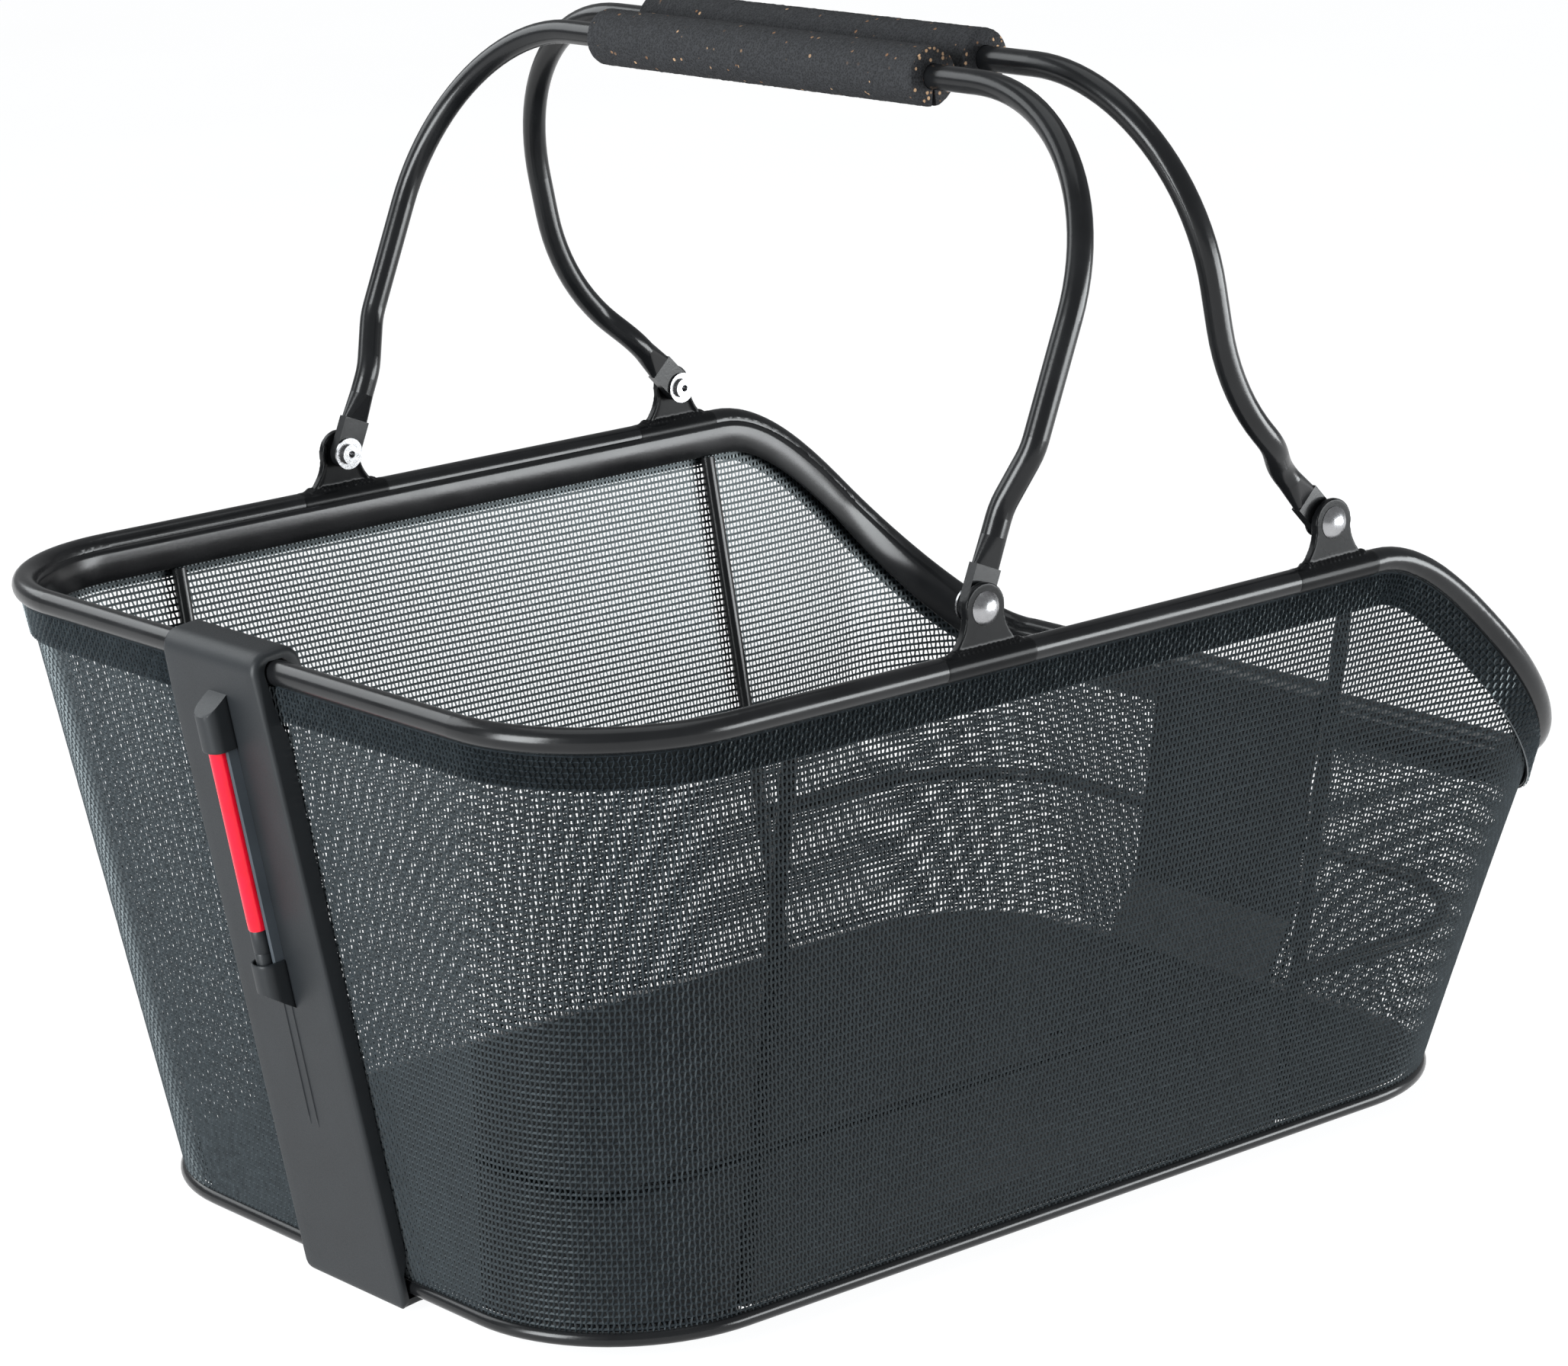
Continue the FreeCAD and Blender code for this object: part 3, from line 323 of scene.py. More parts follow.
def rim_band(name, profile, material, node, smooth):
    """A closed strip swept round under the rim from (drop, offset) corners."""
    count = 720
    rim, _, _, _, down, out = wall_frame(np.arange(count) * (2 * HALF / count))
    profile = np.array(profile)
    points = rim[:, None] + down[:, None] * profile[None, :, :1] + out[:, None] * profile[None, :, 1:]
    size = len(profile)
    index = np.arange(count * size).reshape(count, size)
    following = np.roll(index, -1, axis=0)
    quads = np.stack([index, following, np.roll(following, -1, 1), np.roll(index, -1, 1)], -1)
    piece = make_quads(name, points.reshape(-1, 3), quads.reshape(-1, 4),
                       np.zeros((0, 3), int), material, smooth)
    return stand_in(piece, node, "basket")


# ------------------------------------------------------------------ materials

def node_material(name):
    """An empty material: (material, nodes, links, shader)."""
    material = bpy.data.materials.new(name)
    material.use_nodes = True
    nodes, links = material.node_tree.nodes, material.node_tree.links
    return material, nodes, links, nodes["Principled BSDF"]


def coordinates(nodes):
    """Object coordinates."""
    return nodes.new("ShaderNodeTexCoord").outputs["Object"]


def noise_node(nodes, links, vector, scale, detail=3.0, rough=0.55):
    """A noise texture's output."""
    texture = nodes.new("ShaderNodeTexNoise")
    texture.inputs["Scale"].default_value = scale
    texture.inputs["Detail"].default_value = detail
    texture.inputs["Roughness"].default_value = rough
    links.new(vector, texture.inputs["Vector"])
    return texture.outputs["Fac"]


def cell_node(nodes, links, vector, scale):
    """A cell texture node."""
    texture = nodes.new("ShaderNodeTexVoronoi")
    texture.inputs["Scale"].default_value = scale
    links.new(vector, texture.inputs["Vector"])
    return texture


def ramp(nodes, links, value, stops):
    """A colour ramp over (position, colour) stops."""
    node = nodes.new("ShaderNodeValToRGB")
    elements = node.color_ramp.elements
    while len(elements) < len(stops):
        elements.new(0.5)
    for element, (position, colour) in zip(elements, stops):
        element.position = position
        element.color = (*colour, 1.0) if hasattr(colour, "__len__") else (colour, colour, colour, 1.0)
    links.new(value, node.inputs["Fac"])
    return node.outputs["Color"]


def mix(nodes, links, factor, first, second):
    """The first colour at factor 0, the second at factor 1."""
    node = nodes.new("ShaderNodeMix")
    node.data_type = "RGBA"
    if hasattr(factor, "is_linked"):
        links.new(factor, node.inputs[0])
    else:
        node.inputs[0].default_value = factor
    links.new(first, node.inputs["A"])
    links.new(second, node.inputs["B"])
    return node.outputs["Result"]


def math_node(nodes, links, operation, first, second=None):
    """A math node's output; the second input is a number or an output."""
    node = nodes.new("ShaderNodeMath")
    node.operation = operation
    links.new(first, node.inputs[0])
    if hasattr(second, "is_linked"):
        links.new(second, node.inputs[1])
    elif second is not None:
        node.inputs[1].default_value = second
    return node.outputs[0]


def bump(nodes, links, shader, heights):
    """Bumps from (height, strength, distance in millimetres)."""
    normal = None
    for height, strength, distance in heights:
        node = nodes.new("ShaderNodeBump")
        node.inputs["Strength"].default_value = strength
        node.inputs["Distance"].default_value = distance * MM
        links.new(height, node.inputs["Height"])
        if normal is not None:
            links.new(normal, node.inputs["Normal"])
        normal = node.outputs["Normal"]
    links.new(normal, shader.inputs["Normal"])


def paint_material(name, base=0.006, rough=(0.17, 0.27), wave=0.12, shine=0.34):
    """Black powder coat: glossy, with a faint orange peel and dust in its roughness."""
    material, nodes, links, shader = node_material(name)
    vector = coordinates(nodes)
    cloud = noise_node(nodes, links, vector, 55.0, 4.0)
    peel = noise_node(nodes, links, vector, 900.0, 2.0)
    fine = noise_node(nodes, links, vector, 3800.0, 1.0)
    colour = ramp(nodes, links, cloud, [(0.3, (base, base * 1.05, base * 1.15)),
                                        (0.7, (base * 1.6, base * 1.7, base * 1.85))])
    links.new(colour, shader.inputs["Base Color"])
    links.new(ramp(nodes, links, cloud, [(0.25, rough[0]), (0.75, rough[1])]),
              shader.inputs["Roughness"])
    shader.inputs["Specular IOR Level"].default_value = shine
    bump(nodes, links, shader, [(peel, wave, 0.12), (fine, 0.05, 0.03)])
    return material


def mesh_material(name, dark=1.0, shine=0.5, rough=(0.27, 0.42)):
    """Coated polyester thread: dark, with a cool sheen and a slight variation along each thread."""
    material, nodes, links, shader = node_material(name)
    vector = coordinates(nodes)
    thread = noise_node(nodes, links, vector, 420.0, 3.0)
    cloud = noise_node(nodes, links, vector, 22.0, 2.0)
    along_thread = ramp(nodes, links, thread, [(0.3, (0.008 * dark, 0.010 * dark, 0.012 * dark)),
                                               (0.7, (0.030 * dark, 0.038 * dark, 0.044 * dark))])
    over_wall = ramp(nodes, links, cloud, [(0.3, (0.012 * dark, 0.015 * dark, 0.018 * dark)),
                                           (0.7, (0.020 * dark, 0.025 * dark, 0.029 * dark))])
    links.new(mix(nodes, links, 0.5, along_thread, over_wall), shader.inputs["Base Color"])
    links.new(ramp(nodes, links, thread, [(0.3, rough[0]), (0.7, rough[1])]),
              shader.inputs["Roughness"])
    shader.inputs["Specular IOR Level"].default_value = shine
    shader.inputs["Specular Tint"].default_value = (0.86, 0.97, 1.0, 1.0)
    bump(nodes, links, shader, [(thread, 0.25, 0.06)])
    return material


def plastic_material(name, base=0.016, rough=(0.42, 0.55)):
    """Matt moulded plastic with a fine grain."""
    material, nodes, links, shader = node_material(name)
    vector = coordinates(nodes)
    cloud = noise_node(nodes, links, vector, 70.0, 4.0)
    grain = noise_node(nodes, links, vector, 2600.0, 2.0)
    links.new(ramp(nodes, links, cloud, [(0.3, (base * 0.84, base, base * 1.16)),
                                         (0.7, (base * 1.05, base * 1.25, base * 1.45))]),
              shader.inputs["Base Color"])
    links.new(ramp(nodes, links, grain, [(0.3, rough[0]), (0.7, rough[1])]),
              shader.inputs["Roughness"])
    shader.inputs["Specular IOR Level"].default_value = 0.35
    bump(nodes, links, shader, [(grain, 0.22, 0.05), (cloud, 0.08, 0.2)])
    return material


def steel_material(name):
    """Bright steel with fine turning marks."""
    material, nodes, links, shader = node_material(name)
    vector = coordinates(nodes)
    mark = noise_node(nodes, links, vector, 1500.0, 3.0)
    cloud = noise_node(nodes, links, vector, 160.0, 3.0)
    shader.inputs["Metallic"].default_value = 1.0
    links.new(ramp(nodes, links, cloud, [(0.3, (0.34, 0.34, 0.35)), (0.7, (0.46, 0.46, 0.47))]),
              shader.inputs["Base Color"])
    links.new(ramp(nodes, links, mark, [(0.3, 0.20), (0.7, 0.33)]), shader.inputs["Roughness"])
    bump(nodes, links, shader, [(mark, 0.10, 0.03)])
    return material


def light_material(name):
    """Clear red plastic, saturated and smooth."""
    material, nodes, links, shader = node_material(name)
    vector = coordinates(nodes)
    cloud = noise_node(nodes, links, vector, 120.0, 3.0)
    links.new(ramp(nodes, links, cloud, [(0.3, (0.74, 0.0006, 0.014)), (0.7, (0.90, 0.001, 0.026))]),
              shader.inputs["Base Color"])
    links.new(ramp(nodes, links, cloud, [(0.3, 0.04), (0.7, 0.07)]), shader.inputs["Roughness"])
    shader.inputs["Specular IOR Level"].default_value = 0.45
    bump(nodes, links, shader, [(cloud, 0.03, 0.1)])
    return material


def foam_material(name):
    """Dark foam rubber: open cells, darker in their pits as painted shade, and sparse tan crumbs on its
    skin, many crumbs on its cut ends.
    """
    material, nodes, links, shader = node_material(name)
    vector = coordinates(nodes)
    cells = cell_node(nodes, links, vector, 1500.0)
    flecks = cell_node(nodes, links, vector, 620.0)
    split = nodes.new("ShaderNodeSeparateXYZ")
    links.new(vector, split.inputs[0])
    reach = math_node(nodes, links, "ABSOLUTE", split.outputs["Y"])
    at_cut_end = math_node(nodes, links, "GREATER_THAN", reach, (GRIP_HALF_LENGTH - 0.4) * MM)
    cloud = noise_node(nodes, links, vector, 240.0, 4.0)
    # Painted shade: the base darkens towards each cell's middle, where the bump below sinks its pit.
    base = ramp(nodes, links, cells.outputs["Distance"],
                [(0.05, (0.007, 0.0073, 0.008)), (0.75, (0.028, 0.029, 0.032))])
    speck = ramp(nodes, links, flecks.outputs["Distance"], [(0.30, 1.0), (0.42, 0.0)])
    tone = nodes.new("ShaderNodeSeparateColor")
    links.new(flecks.outputs["Color"], tone.inputs[0])
    skin_pick = ramp(nodes, links, tone.outputs["Red"], [(0.955, 0.0), (0.965, 1.0)])
    cut_pick = ramp(nodes, links, tone.outputs["Red"], [(0.58, 0.0), (0.60, 1.0)])
    pick = mix(nodes, links, at_cut_end, skin_pick, cut_pick)
    both = math_node(nodes, links, "MULTIPLY", speck, pick)
    crumb = ramp(nodes, links, tone.outputs["Green"],
                 [(0.2, (0.16, 0.085, 0.045)), (0.8, (0.42, 0.27, 0.16))])
    links.new(mix(nodes, links, both, base, crumb), shader.inputs["Base Color"])
    links.new(ramp(nodes, links, cloud, [(0.3, 0.86), (0.7, 0.96)]), shader.inputs["Roughness"])
    shader.inputs["Specular IOR Level"].default_value = 0.3
    bump(nodes, links, shader, [(cells.outputs["Distance"], 0.55, 0.25), (cloud, 0.35, 0.4)])
    return material


PAINT = paint_material("black powder coat")
# The ears' finish: a darker, less glossy copy of the black powder coat, painted shade for how the light
# falls on the ears.
EAR_SHADED_PAINT = paint_material("shaded black powder coat", 0.004, (0.20, 0.30), 0.10, 0.12)
MESH = mesh_material("coated mesh")
HEM = mesh_material("mesh hem", 1.25, 0.95, (0.18, 0.28))
# The hem's inner mesh layer, a real layer, coloured four times darker than the mesh as painted shade in
# the gaps between the hem's threads.
HEM_SHADED_BACK = mesh_material("shaded mesh hem underlay", 0.25, 0.15)
PLASTIC = plastic_material("matt black plastic", 0.011)
SMOKE = plastic_material("smoky plastic", 0.060, (0.28, 0.38))
SOCKET = plastic_material("socket rubber", 0.012, (0.40, 0.52))
STEEL = steel_material("bright steel")
RED = light_material("red light")
FOAM = foam_material("grip foam")
RUBBER = plastic_material("black rubber", 0.013, (0.62, 0.75))


# ------------------------------------------------------------------ strap and light

TAIL_RIM = np.array([-RIM_LENGTH / 2 + FORWARD, 0.0, RIM_HEIGHT])
TAIL_RING = np.array([RING_FORWARD - RING_LENGTH / 2 + FORWARD, 0.0, RING_HEIGHT])
TAIL_SLANT = float(np.linalg.norm(TAIL_RING - TAIL_RIM))
TAIL_DOWN = (TAIL_RING - TAIL_RIM) / TAIL_SLANT
TAIL_OUT = np.array([TAIL_DOWN[2], 0.0, -TAIL_DOWN[0]])


def along_strap(ends, drop):
    """A value between its two ends, at a drop along the strap."""
    return ends[0] + (ends[1] - ends[0]) * drop / STRAP_LOW


def tail_point(drop, offset, across):
    """A point at a drop below the rim, an offset out from the wall's line, and a distance across."""
    return TAIL_RIM + TAIL_DOWN * drop + TAIL_OUT * offset + np.array([0.0, across, 0.0])


def loft(name, sections, material, angle):
    """A closed form through rings of points that all have the same count, smooth up to an angle."""
    size = len(sections[0])
    points = [point for section in sections for point in section]
    faces = []
    for i in range(len(sections) - 1):
        for k in range(size):
            n = (k + 1) % size
            faces.append((i * size + k, i * size + n, (i + 1) * size + n, (i + 1) * size + k))
    faces.append(tuple(range(size))[::-1])
    faces.append(tuple(len(points) - size + k for k in range(size)))
    piece = make_mesh(name, points, faces, material)
    outward_normals(piece)
    smooth_by_angle(piece, angle)
    return piece


def turn_stations(centre, radius, first, last, count):
    """(drop, offset) points on an arc: 0 degrees points out from the wall, 90 up to the rim's top."""
    angles = np.radians(np.linspace(first, last, count))
    return [(centre[0] - radius * math.sin(a), centre[1] + radius * math.cos(a)) for a in angles]


def strap_stations():
    """The strap's outer skin in side view: (drop, offset) from the hook's end to the toe's end."""
    skin, toe_r = 0.05, 2.9
    front, back, top = STRAP_FACE[0] - skin, skin - HOOK_BACK, skin - HOOK_TOP
    radius = HOOK_CORNER_R
    low = STRAP_LOW - 0.1
    foot = along_strap(STRAP_FACE, low) - skin
    stations = [(1.9, back), (0.9, back)]
    stations += turn_stations((top + radius, back + radius), radius, 180, 90, 12)
    stations += turn_stations((top + radius, front - radius), radius, 90, 0, 14)
    stations += [(drop, along_strap(STRAP_FACE, drop) - skin)
                 for drop in np.linspace(2.5, low - toe_r - 0.8, 50)]
    stations += turn_stations((low - toe_r, foot - toe_r), toe_r, -8, -90, 9)
    stations += [(low, 0.5), (low, -1.0)]
    stations += turn_stations((low - toe_r, TOE_BACK + toe_r), toe_r, -90, -180, 9)
    return stations + [(TAIL_SLANT + 1.2, TOE_BACK), (TAIL_SLANT + 0.6, TOE_BACK)]


def strap_wall_depth(drop, offset, inward):
    """How far the strap's side walls reach in from its skin."""
    if drop > TAIL_SLANT - 6:
        return STRAP_THICKNESS
    if offset > 0 and drop > CHEEK_BORE_R:
        line = np.interp(drop, (5, 16.5, 19, TAIL_SLANT - 10, TAIL_SLANT - 6),
                         (4.4, 2.8, 1.4, 1.4, 3.5))
        return offset - line
    along = drop * inward[0] + offset * inward[1]
    reach = -along - math.sqrt(max(0.0, along ** 2 - (drop ** 2 + offset ** 2 - CHEEK_BORE_R ** 2)))
    return reach if offset < 0 or drop < -0.5 else min(reach, offset - 4.4)


def tail_strap():
    """The strap: one moulding with rounded long edges, side walls, and a hook at each end."""
    stations = np.array(strap_stations())
    heading = unit(np.gradient(stations, axis=0))
    inward = np.stack([heading[:, 1], -heading[:, 0]], -1)
    thick = STRAP_THICKNESS - 0.1
    corner = 5.0
    sections = []
    for (drop, offset), into in zip(stations, inward):
        past = min(corner, max(0.0, drop - (STRAP_LOW - corner)))
        draw = 0.85 * (corner - math.sqrt(corner ** 2 - past ** 2))
        right = along_strap(STRAP_RIGHT_Y, drop) + draw
        left = along_strap(STRAP_LEFT_Y, drop) - draw
        edge = np.interp(drop, (0, 12, STRAP_LOW - 12, STRAP_LOW), (2.3, 1.5, 1.5, 1.2))
        depth = max(strap_wall_depth(drop, offset, into), edge + 0.1, thick + 0.02)
        turn = np.radians(np.linspace(0, 90, 7))
        rounded = [(edge * (1 - math.sin(a)), edge * (1 - math.cos(a))) for a in turn[::-1]]
        section = [(right, depth)] + [(right + a, b) for a, b in rounded]
        section += [(right + (left - right) * share, 0.0) for share in np.linspace(0.1, 0.9, 15)]
        section += [(left - a, b) for a, b in rounded[::-1]] + [(left, depth)]
        section += [(left - STRAP_WALL, depth), (left - STRAP_WALL, thick),
                    (right + STRAP_WALL, thick), (right + STRAP_WALL, depth)]
        sections.append([tail_point(drop + into[0] * deep, offset + into[1] * deep, across)
                         for across, deep in section])
    stand_in(loft("tail_strap_moulding", sections, PLASTIC, 40), "tail_strap", "basket")


def on_strap(drop, across, lift):
    """A point on the light's line: across it, and lifted off the strap's face."""
    return tail_point(drop, along_strap(STRAP_FACE, drop) + lift, along_strap(LIGHT_Y, drop) + across)


def light_rail():
    """The rail that cradles the rod between its sockets, and the two fine ribs below it."""
    high, low = UPPER_SOCKET[0] - 0.5, LOWER_SOCKET[0] + 0.5
    half, top, groove = RAIL_HALF - 0.05, RAIL_TOP - 0.05, LIGHT_R + 0.15
    section = [(-half, -0.3), (-half, top - 0.4), (-half + 0.4, top)]
    reach = math.acos((LIGHT_LIFT - top) / groove)
    for a in np.linspace(-reach, reach, 15):
        section.append((groove * math.sin(a), LIGHT_LIFT - groove * math.cos(a)))
    section += [(half - 0.4, top), (half, top - 0.4), (half, -0.3)]
    sections = [[on_strap(drop, a, b) for a, b in section] for drop in np.linspace(high, low, 30)]
    stand_in(loft("light_rail", sections, SMOKE, 30), "tail_strap", "basket")
    end = LOWER_SOCKET[2] + RIB_LENGTH
    for number, side in enumerate((-1, 1)):
        sections = []
        for drop in np.linspace(LOWER_SOCKET[2] - 2.5, end, 30):
            fade = min(1.0, (end + 0.3 - drop) / 3)
            line = [(-0.45, -0.25), (-0.25, 0.22 * fade), (0.25, 0.22 * fade), (0.45, -0.25)]
            sections.append([on_strap(drop, RIB_OFFSET * side + a, b) for a, b in line])
        stand_in(loft("strap_rib_%d" % number, sections, PLASTIC, 60), "tail_strap", "basket")


def rod(name, node, rings, material):
    """A round stretch of the light, from (drop, radius) rings with closed ends."""
    turns = np.linspace(0, 2 * math.pi, 40, endpoint=False)
    sections = [[on_strap(drop, radius * math.cos(a), LIGHT_LIFT + radius * math.sin(a)) for a in turns]
                for drop, radius in rings]
    stand_in(loft(name, sections, material, 35), node, "basket")


def light_pieces():
    """The red rod, clipped in its rail, and its black end sleeve."""
    high, red_low, low = LIGHT_DROP
    rings = [(high + 0.2, 2.2), (high + 1.0, 2.93)]
    rings += [(drop, 2.95) for drop in np.linspace(high + 2, red_low - 0.6, 24)]
    rod("light_rod", "light_tube", rings + [(red_low - 0.1, 2.7)], RED)
    groove = [(red_low + 7.0, 2.75), (red_low + 7.3, 2.55), (red_low + 7.8, 2.75)]
    rings = [(red_low - 0.1, 2.5), (red_low + 0.5, 2.75)] + groove + [(low - 0.2, 2.75)]
    rod("light_end", "light_sleeve", rings, SOCKET)


def light_socket(name, node, drops, hole):
    """A domed block with a hollow mouth for the rod, its other end cut off on a slope."""
    mouth, slope_top, slope_foot = drops
    half, top, middle, base = SOCKET_HALF - 0.05, SOCKET_TOP - 0.05, 4.0, -0.35
    turns = np.linspace(0, 2 * math.pi, 64, endpoint=False)

    def section(drop, shrink=0.0):
        rise = (drop - slope_foot) / (slope_top - slope_foot)
        limit = base + (top - base) * min(1.0, max(0.0, rise))
        ring = []
        for a in turns:
            power = 2.35 if math.sin(a) > 0 else 9.0
            across = math.copysign(abs(math.cos(a)) ** (2 / power), math.cos(a)) * (half - shrink)
            tall = top - middle - shrink if math.sin(a) > 0 else middle - base
            lift = middle + math.copysign(abs(math.sin(a)) ** (2 / power), math.sin(a)) * tall
            ring.append(on_strap(drop, across, min(lift, limit)))
        return ring

    def mouth_ring(drop, grow=0.0):
        wide, tall = hole[0] + grow, hole[1] + grow
        return [on_strap(drop, wide * math.cos(a), LIGHT_LIFT + tall * math.sin(a)) for a in turns]

    toward = 1 if slope_top > mouth else -1
    sections = [mouth_ring(mouth + toward * 5), mouth_ring(mouth + toward * 0.5)]
    sections += [mouth_ring(mouth, 0.3), section(mouth, 0.5)]
    sections += [section(mouth + toward * 0.15, 0.15), section(mouth + toward * 0.5)]
    sections += [section(drop) for drop in np.linspace(mouth + toward * 1.2, slope_top, 9)]
    sections += [section(drop) for drop in np.linspace(slope_top, slope_foot, 14)[1:]]
    stand_in(loft(name, sections, SOCKET, 30), node, "basket")


# ------------------------------------------------------------------ grips

def grip(name, node, body, centre):
    """A foam grip: a rough tube with a slit along its underside, open at its ends."""
    radius, bore, half = GRIP_RADIUS, GRIP_BORE, GRIP_HALF_LENGTH
    around, along = 96, 330
    angles = np.linspace(-math.pi / 2 + GRIP_SLIT_ANGLE, 1.5 * math.pi - GRIP_SLIT_ANGLE, around)
    stations = np.linspace(-half, half, along)
    points, faces = [], []
    for y in stations:
        edge = min(1.0, (half - abs(y)) / 1.2)
        round_off = 0.5 * (1 - math.sqrt(max(0.0, 1 - (1 - edge) ** 2)))
        for a in angles:
            direction = Vector((math.cos(a), 0, math.sin(a)))
            spot = direction * radius + Vector((0, y, 0))
            rough = noise.fractal(spot * 0.45, 0.9, 2.0, 3) * 0.16 + noise.noise(spot * 1.3) * 0.10
            r = radius - round_off + rough
            points.append((centre[0] + direction.x * r, y, centre[1] + direction.z * r))
    outer = len(points)
    for y in stations[[0, -1]]:
        for a in angles:
            points.append((centre[0] + math.cos(a) * bore, y, centre[1] + math.sin(a) * bore))
    for i in range(along - 1):
        for k in range(around - 1):
            q = i * around + k
            faces.append((q, q + around, q + around + 1, q + 1))
    for k in range(around - 1):
        faces.append((k, k + 1, outer + k + 1, outer + k))
        last = (along - 1) * around
        faces.append((last + k, outer + around + k, outer + around + k + 1, last + k + 1))
        faces.append((outer + k, outer + k + 1, outer + around + k + 1, outer + around + k))
    for k, flip in ((0, 1), (around - 1, -1)):
        ring = [i * around + k for i in range(along)] + [outer + around + k, outer + k]
        faces.append(tuple(ring[::flip]))
    piece = make_mesh(name, points, faces, FOAM)
    outward_normals(piece)
    smooth_by_angle(piece, 55)
    stand_in(piece, node, body)
    return piece


# ------------------------------------------------------------------ ears

def ear_outline():
    """(x, z) from the left foot over the top to the right foot, about the pivot."""
    left = []
    for share in np.linspace(0, 1, 10)[:-1]:
        x = -EAR_HALF_FOOT + 5.6 * (1 - (1 - share) ** 2.2)
        left.append((x, EAR_FOOT_Z + 11.4 * share))
    top = [(-EAR_TOP_R * math.cos(a), EAR_TOP_R * math.sin(a))
           for a in np.radians(np.linspace(-7, 187, 25))]
    return left + top + [(-x, z) for x, z in reversed(left)]


def closed_prism(outline, y_low, y_high):
    """(points, faces) of an outline pulled along Y."""
    size = len(outline)
    points = [(x, y, z) for y in (y_low, y_high) for x, z in outline]
    faces = [(k, (k + 1) % size, size + (k + 1) % size, size + k) for k in range(size)]
    return points, faces + [tuple(range(size))[::-1], tuple(range(size, 2 * size))]


def lathe_x(rings, y, z, segments):
    """(points, faces) of a turned form along X, from (x, radius) rings."""
    turns = [2 * math.pi * k / segments for k in range(segments)]
    points = [(x, y + r * math.cos(a), z + r * math.sin(a)) for x, r in rings for a in turns]
    faces = [(i * segments + k, i * segments + (k + 1) % segments,
              (i + 1) * segments + (k + 1) % segments, (i + 1) * segments + k)
             for i in range(len(rings) - 1) for k in range(segments)]
    last = (len(rings) - 1) * segments
    return points, faces + [tuple(range(segments))[::-1], tuple(range(last, last + segments))]


def weld_ripple(place, size, depth):
    """One ripple of a weld at the end of an ear's foot."""
    rings = [(place - size, 0.3), (place - size * 0.6, size * 0.8), (place, size),
             (place + size * 0.6, size * 0.8), (place + size, 0.3)]
    return lathe_x(rings, 0.3, EAR_FOOT_Z - depth, 14)


def ear_forms(rng):
    """The plate, its folded edges, the sleeve on the rim, and the welds, about the pivot."""
    outline = ear_outline()
    forms = [closed_prism(outline, *EAR_FACE)]
    for part in (outline[:14], outline[-14:]):
        part = np.array(part)
        inner = part * np.array([0.86, 1.0]) - np.array([0, 0.2])
        edge = [tuple(p) for p in part] + [tuple(p) for p in inner[::-1]]
        forms.append(closed_prism(edge, EAR_FOLD, EAR_FACE[1]))
    sleeve = [(-21, 3.2), (-17, 4.12), (17, 4.12), (21, 3.2)]
    forms.append(lathe_x(sleeve, 0, RIM_HEIGHT - PIVOT_HEIGHT, 32))
    for sign in (-1, 1):
        for k in range(6):
            size = 1.8 - 0.22 * k + rng.normal(0, 0.06)
            forms.append(weld_ripple(sign * (EAR_HALF_FOOT - 0.4 + k * 0.9), size, 0.25 * k))
    beads = 14
    for offset in (-1.5, 1.3):
        for place in np.linspace(-12, 12, beads):
            size = 0.95 + rng.normal(0, 0.08)
            bead = [(place - 1.5, 0.2), (place, size), (place + 1.5, 0.2)]
            forms.append(lathe_x(bead, offset, EAR_FOOT_Z + 0.3, 10))
    return forms


def ear(name, node, x, side):
    """A pressed ear with folded edges, welded to the rim and painted over."""
    forms = ear_forms(np.random.default_rng(int(abs(x) * 10) + (1 if side > 0 else 0)))
    points, faces, base = [], [], 0
    for form_points, form_faces in forms:
        points += [(x + px, side * (EAR_Y + py), PIVOT_HEIGHT + pz) for px, py, pz in form_points]
        faces += [tuple(i + base for i in face) for face in form_faces]
        base += len(form_points)
    piece = make_mesh(name, points, faces, EAR_SHADED_PAINT)
    outward_normals(piece)
    remesh = piece.modifiers.new("skin", "REMESH")
    remesh.mode = "VOXEL"
    remesh.voxel_size = 0.36 * MM
    relax = piece.modifiers.new("relax", "SMOOTH")
    relax.factor = 0.5
    relax.iterations = 5
    apply_modifiers(piece)
    piece.data.polygons.foreach_set("use_smooth", [True] * len(piece.data.polygons))
    piece.data.materials.clear()
    piece.data.materials.append(EAR_SHADED_PAINT)
    return stand_in(piece, node, "basket")


# ------------------------------------------------------------------ build the object

NODE_MATERIALS = {
    PAINT: ["rim_tube", "bottom_ring", "floor_pan", "carrier_plate", "end_hoop", "rib_tail_left",
            "rib_tail_right", "rib_saddle_left", "rib_saddle_right", "tail_bail", "saddle_bail"],
    STEEL: ["pivot_rivets", "rivet_washers"],
    PLASTIC: ["pivot_spacers"],
    RUBBER: ["floor_feet"],
}
for material, names in NODE_MATERIALS.items():
    for name in names:
        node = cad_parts[name]
        node.data.materials.clear()
        node.data.materials.append(material)

columns = 2 * int(round(HALF / COLUMN_PITCH))
quarter = [0, columns // 4, columns // 2, 3 * columns // 4, columns]
for number, place in enumerate(("tail_right", "saddle_right", "saddle_left", "tail_left")):
    wall_panel("mesh_panel_" + place, quarter[number], quarter[number + 1], columns, MESH)
hem_weave("mesh_hem_weave", columns, HEM)
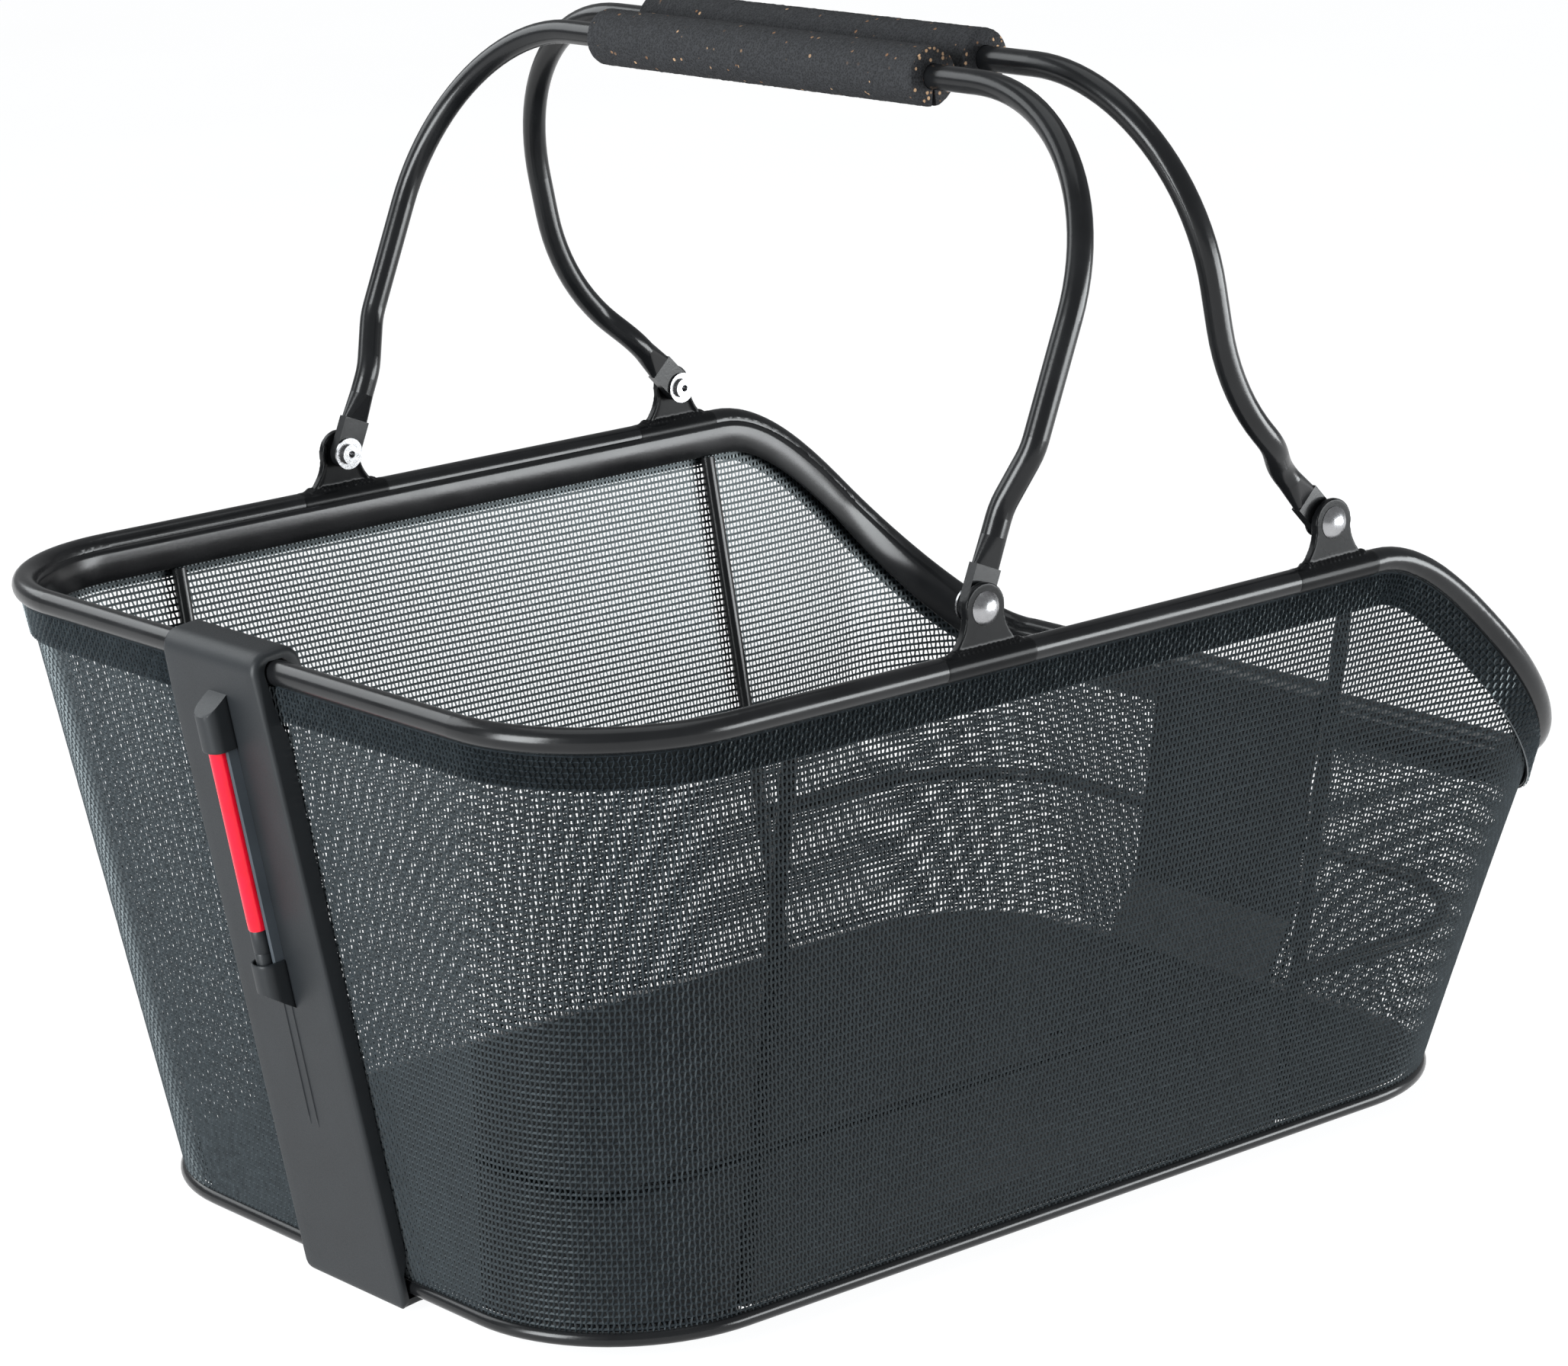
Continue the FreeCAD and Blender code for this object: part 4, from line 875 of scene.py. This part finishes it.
# The hem's underlay carries painted shade: it is darkened so the gaps between the hem's threads read as
# shade.
rim_band("mesh_hem_back", [(3.6, 0.75), (14.4, 0.75), (14.6, 1.1), (14.2, 1.45), (3.6, 1.45)],
         HEM_SHADED_BACK, "mesh_hem", False)
rim_band("flange_skin", [(-0.5, -3.9), (3.0, -3.95), (11.6, -3.6), (12.0, -3.2), (11.6, -2.7),
                         (2.6, -2.6)], PAINT, "rim_flange", True)
tail_strap()
light_rail()
light_pieces()
light_socket("light_socket_top", "light_socket_upper", UPPER_SOCKET, (3.3, 3.3))
light_socket("light_socket_bottom", "light_socket_lower", LOWER_SOCKET, (3.5, 3.75))
for name, pivot_x in PIVOTS.items():
    for side, side_name in ((1, "left"), (-1, "right")):
        node_name = "ear_%s_%s" % (name, side_name)
        ear(node_name + "_form", node_name, pivot_x, side)

for name in ("tail", "saddle"):
    low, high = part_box(name + "_grip")
    grip(name + "_grip_foam", name + "_grip", name + "_handle",
         ((low[0] + high[0]) / 2 / MM, (low[2] + high[2]) / 2 / MM))


# ------------------------------------------------------------------ stage, light and camera

def studio():
    """A pale floor between two low soft boxes, with softer light from above and behind."""
    material, nodes, links, shader = node_material("studio floor")
    vector = coordinates(nodes)
    cloud = noise_node(nodes, links, vector, 3.0, 2.0)
    links.new(ramp(nodes, links, cloud, [(0.3, 0.10), (0.7, 0.12)]), shader.inputs["Base Color"])
    shader.inputs["Roughness"].default_value = 0.9
    shader.inputs["Specular IOR Level"].default_value = 0.0
    shader.inputs["Emission Color"].default_value = (0.99, 0.995, 1.0, 1.0)
    shader.inputs["Emission Strength"].default_value = 0.96
    half, low = 6000.0, -0.2
    corners = [(-half, -half, low), (half, -half, low), (half, half, low), (-half, half, low)]
    floor = make_mesh("studio_floor", corners, [(0, 1, 2, 3)], material)
    world = bpy.data.worlds.new("studio")
    world.use_nodes = True
    world.node_tree.nodes["Background"].inputs["Color"].default_value = (0.96, 0.98, 1.0, 1.0)
    world.node_tree.nodes["Background"].inputs["Strength"].default_value = 0.30
    bpy.context.scene.world = world
    bpy.context.scene.view_settings.view_transform = "Standard"

    def area(name, place, target, width, height, radiance):
        lamp = bpy.data.lights.new(name, "AREA")
        lamp.shape = "RECTANGLE"
        lamp.size, lamp.size_y = width, height
        lamp.energy = radiance * math.pi * width * height
        lamp.color = (0.95, 0.985, 1.0)
        holder = bpy.data.objects.new(name, lamp)
        holder.location = place
        holder.rotation_euler = (Vector(target) - Vector(place)).to_track_quat("-Z", "Y").to_euler()
        holder.visible_camera = False
        bpy.context.scene.collection.objects.link(holder)

    area("left box", (-1.40, -0.09, 0.47), (0, 0, 0.15), 0.60, 0.90, 17)
    area("right box", (0.78, -1.00, 0.17), (0, 0, 0.16), 1.10, 0.50, 13)
    area("back box", (-0.55, 1.25, 1.05), (0, 0, 0.15), 1.30, 0.80, 3.5)
    area("top", (0.1, 0.1, 2.0), (0, 0, 0.1), 1.5, 1.5, 1.2)


def camera():
    """The camera, turned and rolled about a target; lengths are in millimetres."""
    azimuth, elevation, roll = (math.radians(a) for a in (39.27, 14.85, -2.19))
    target = Vector((13.08, 13.79, 151.28))
    distance = 1634.68
    back = Vector((-math.sin(azimuth) * math.cos(elevation),
                   -math.cos(azimuth) * math.cos(elevation), math.sin(elevation)))
    right = (-back).cross(Vector((0, 0, 1))).normalized()
    up = right.cross(-back)
    across = right * math.cos(roll) + up * math.sin(roll)
    upward = -right * math.sin(roll) + up * math.cos(roll)
    place = (target + back * distance) * MM
    turn = Matrix((across, upward, back)).transposed().to_4x4()
    data = bpy.data.cameras.new("camera")
    data.sensor_width = 36.0
    data.lens = 112.9024
    data.clip_start = 0.05
    holder = bpy.data.objects.new("camera", data)
    holder.matrix_world = Matrix.Translation(place) @ turn
    bpy.context.scene.collection.objects.link(holder)
    bpy.context.scene.camera = holder


studio()
camera()
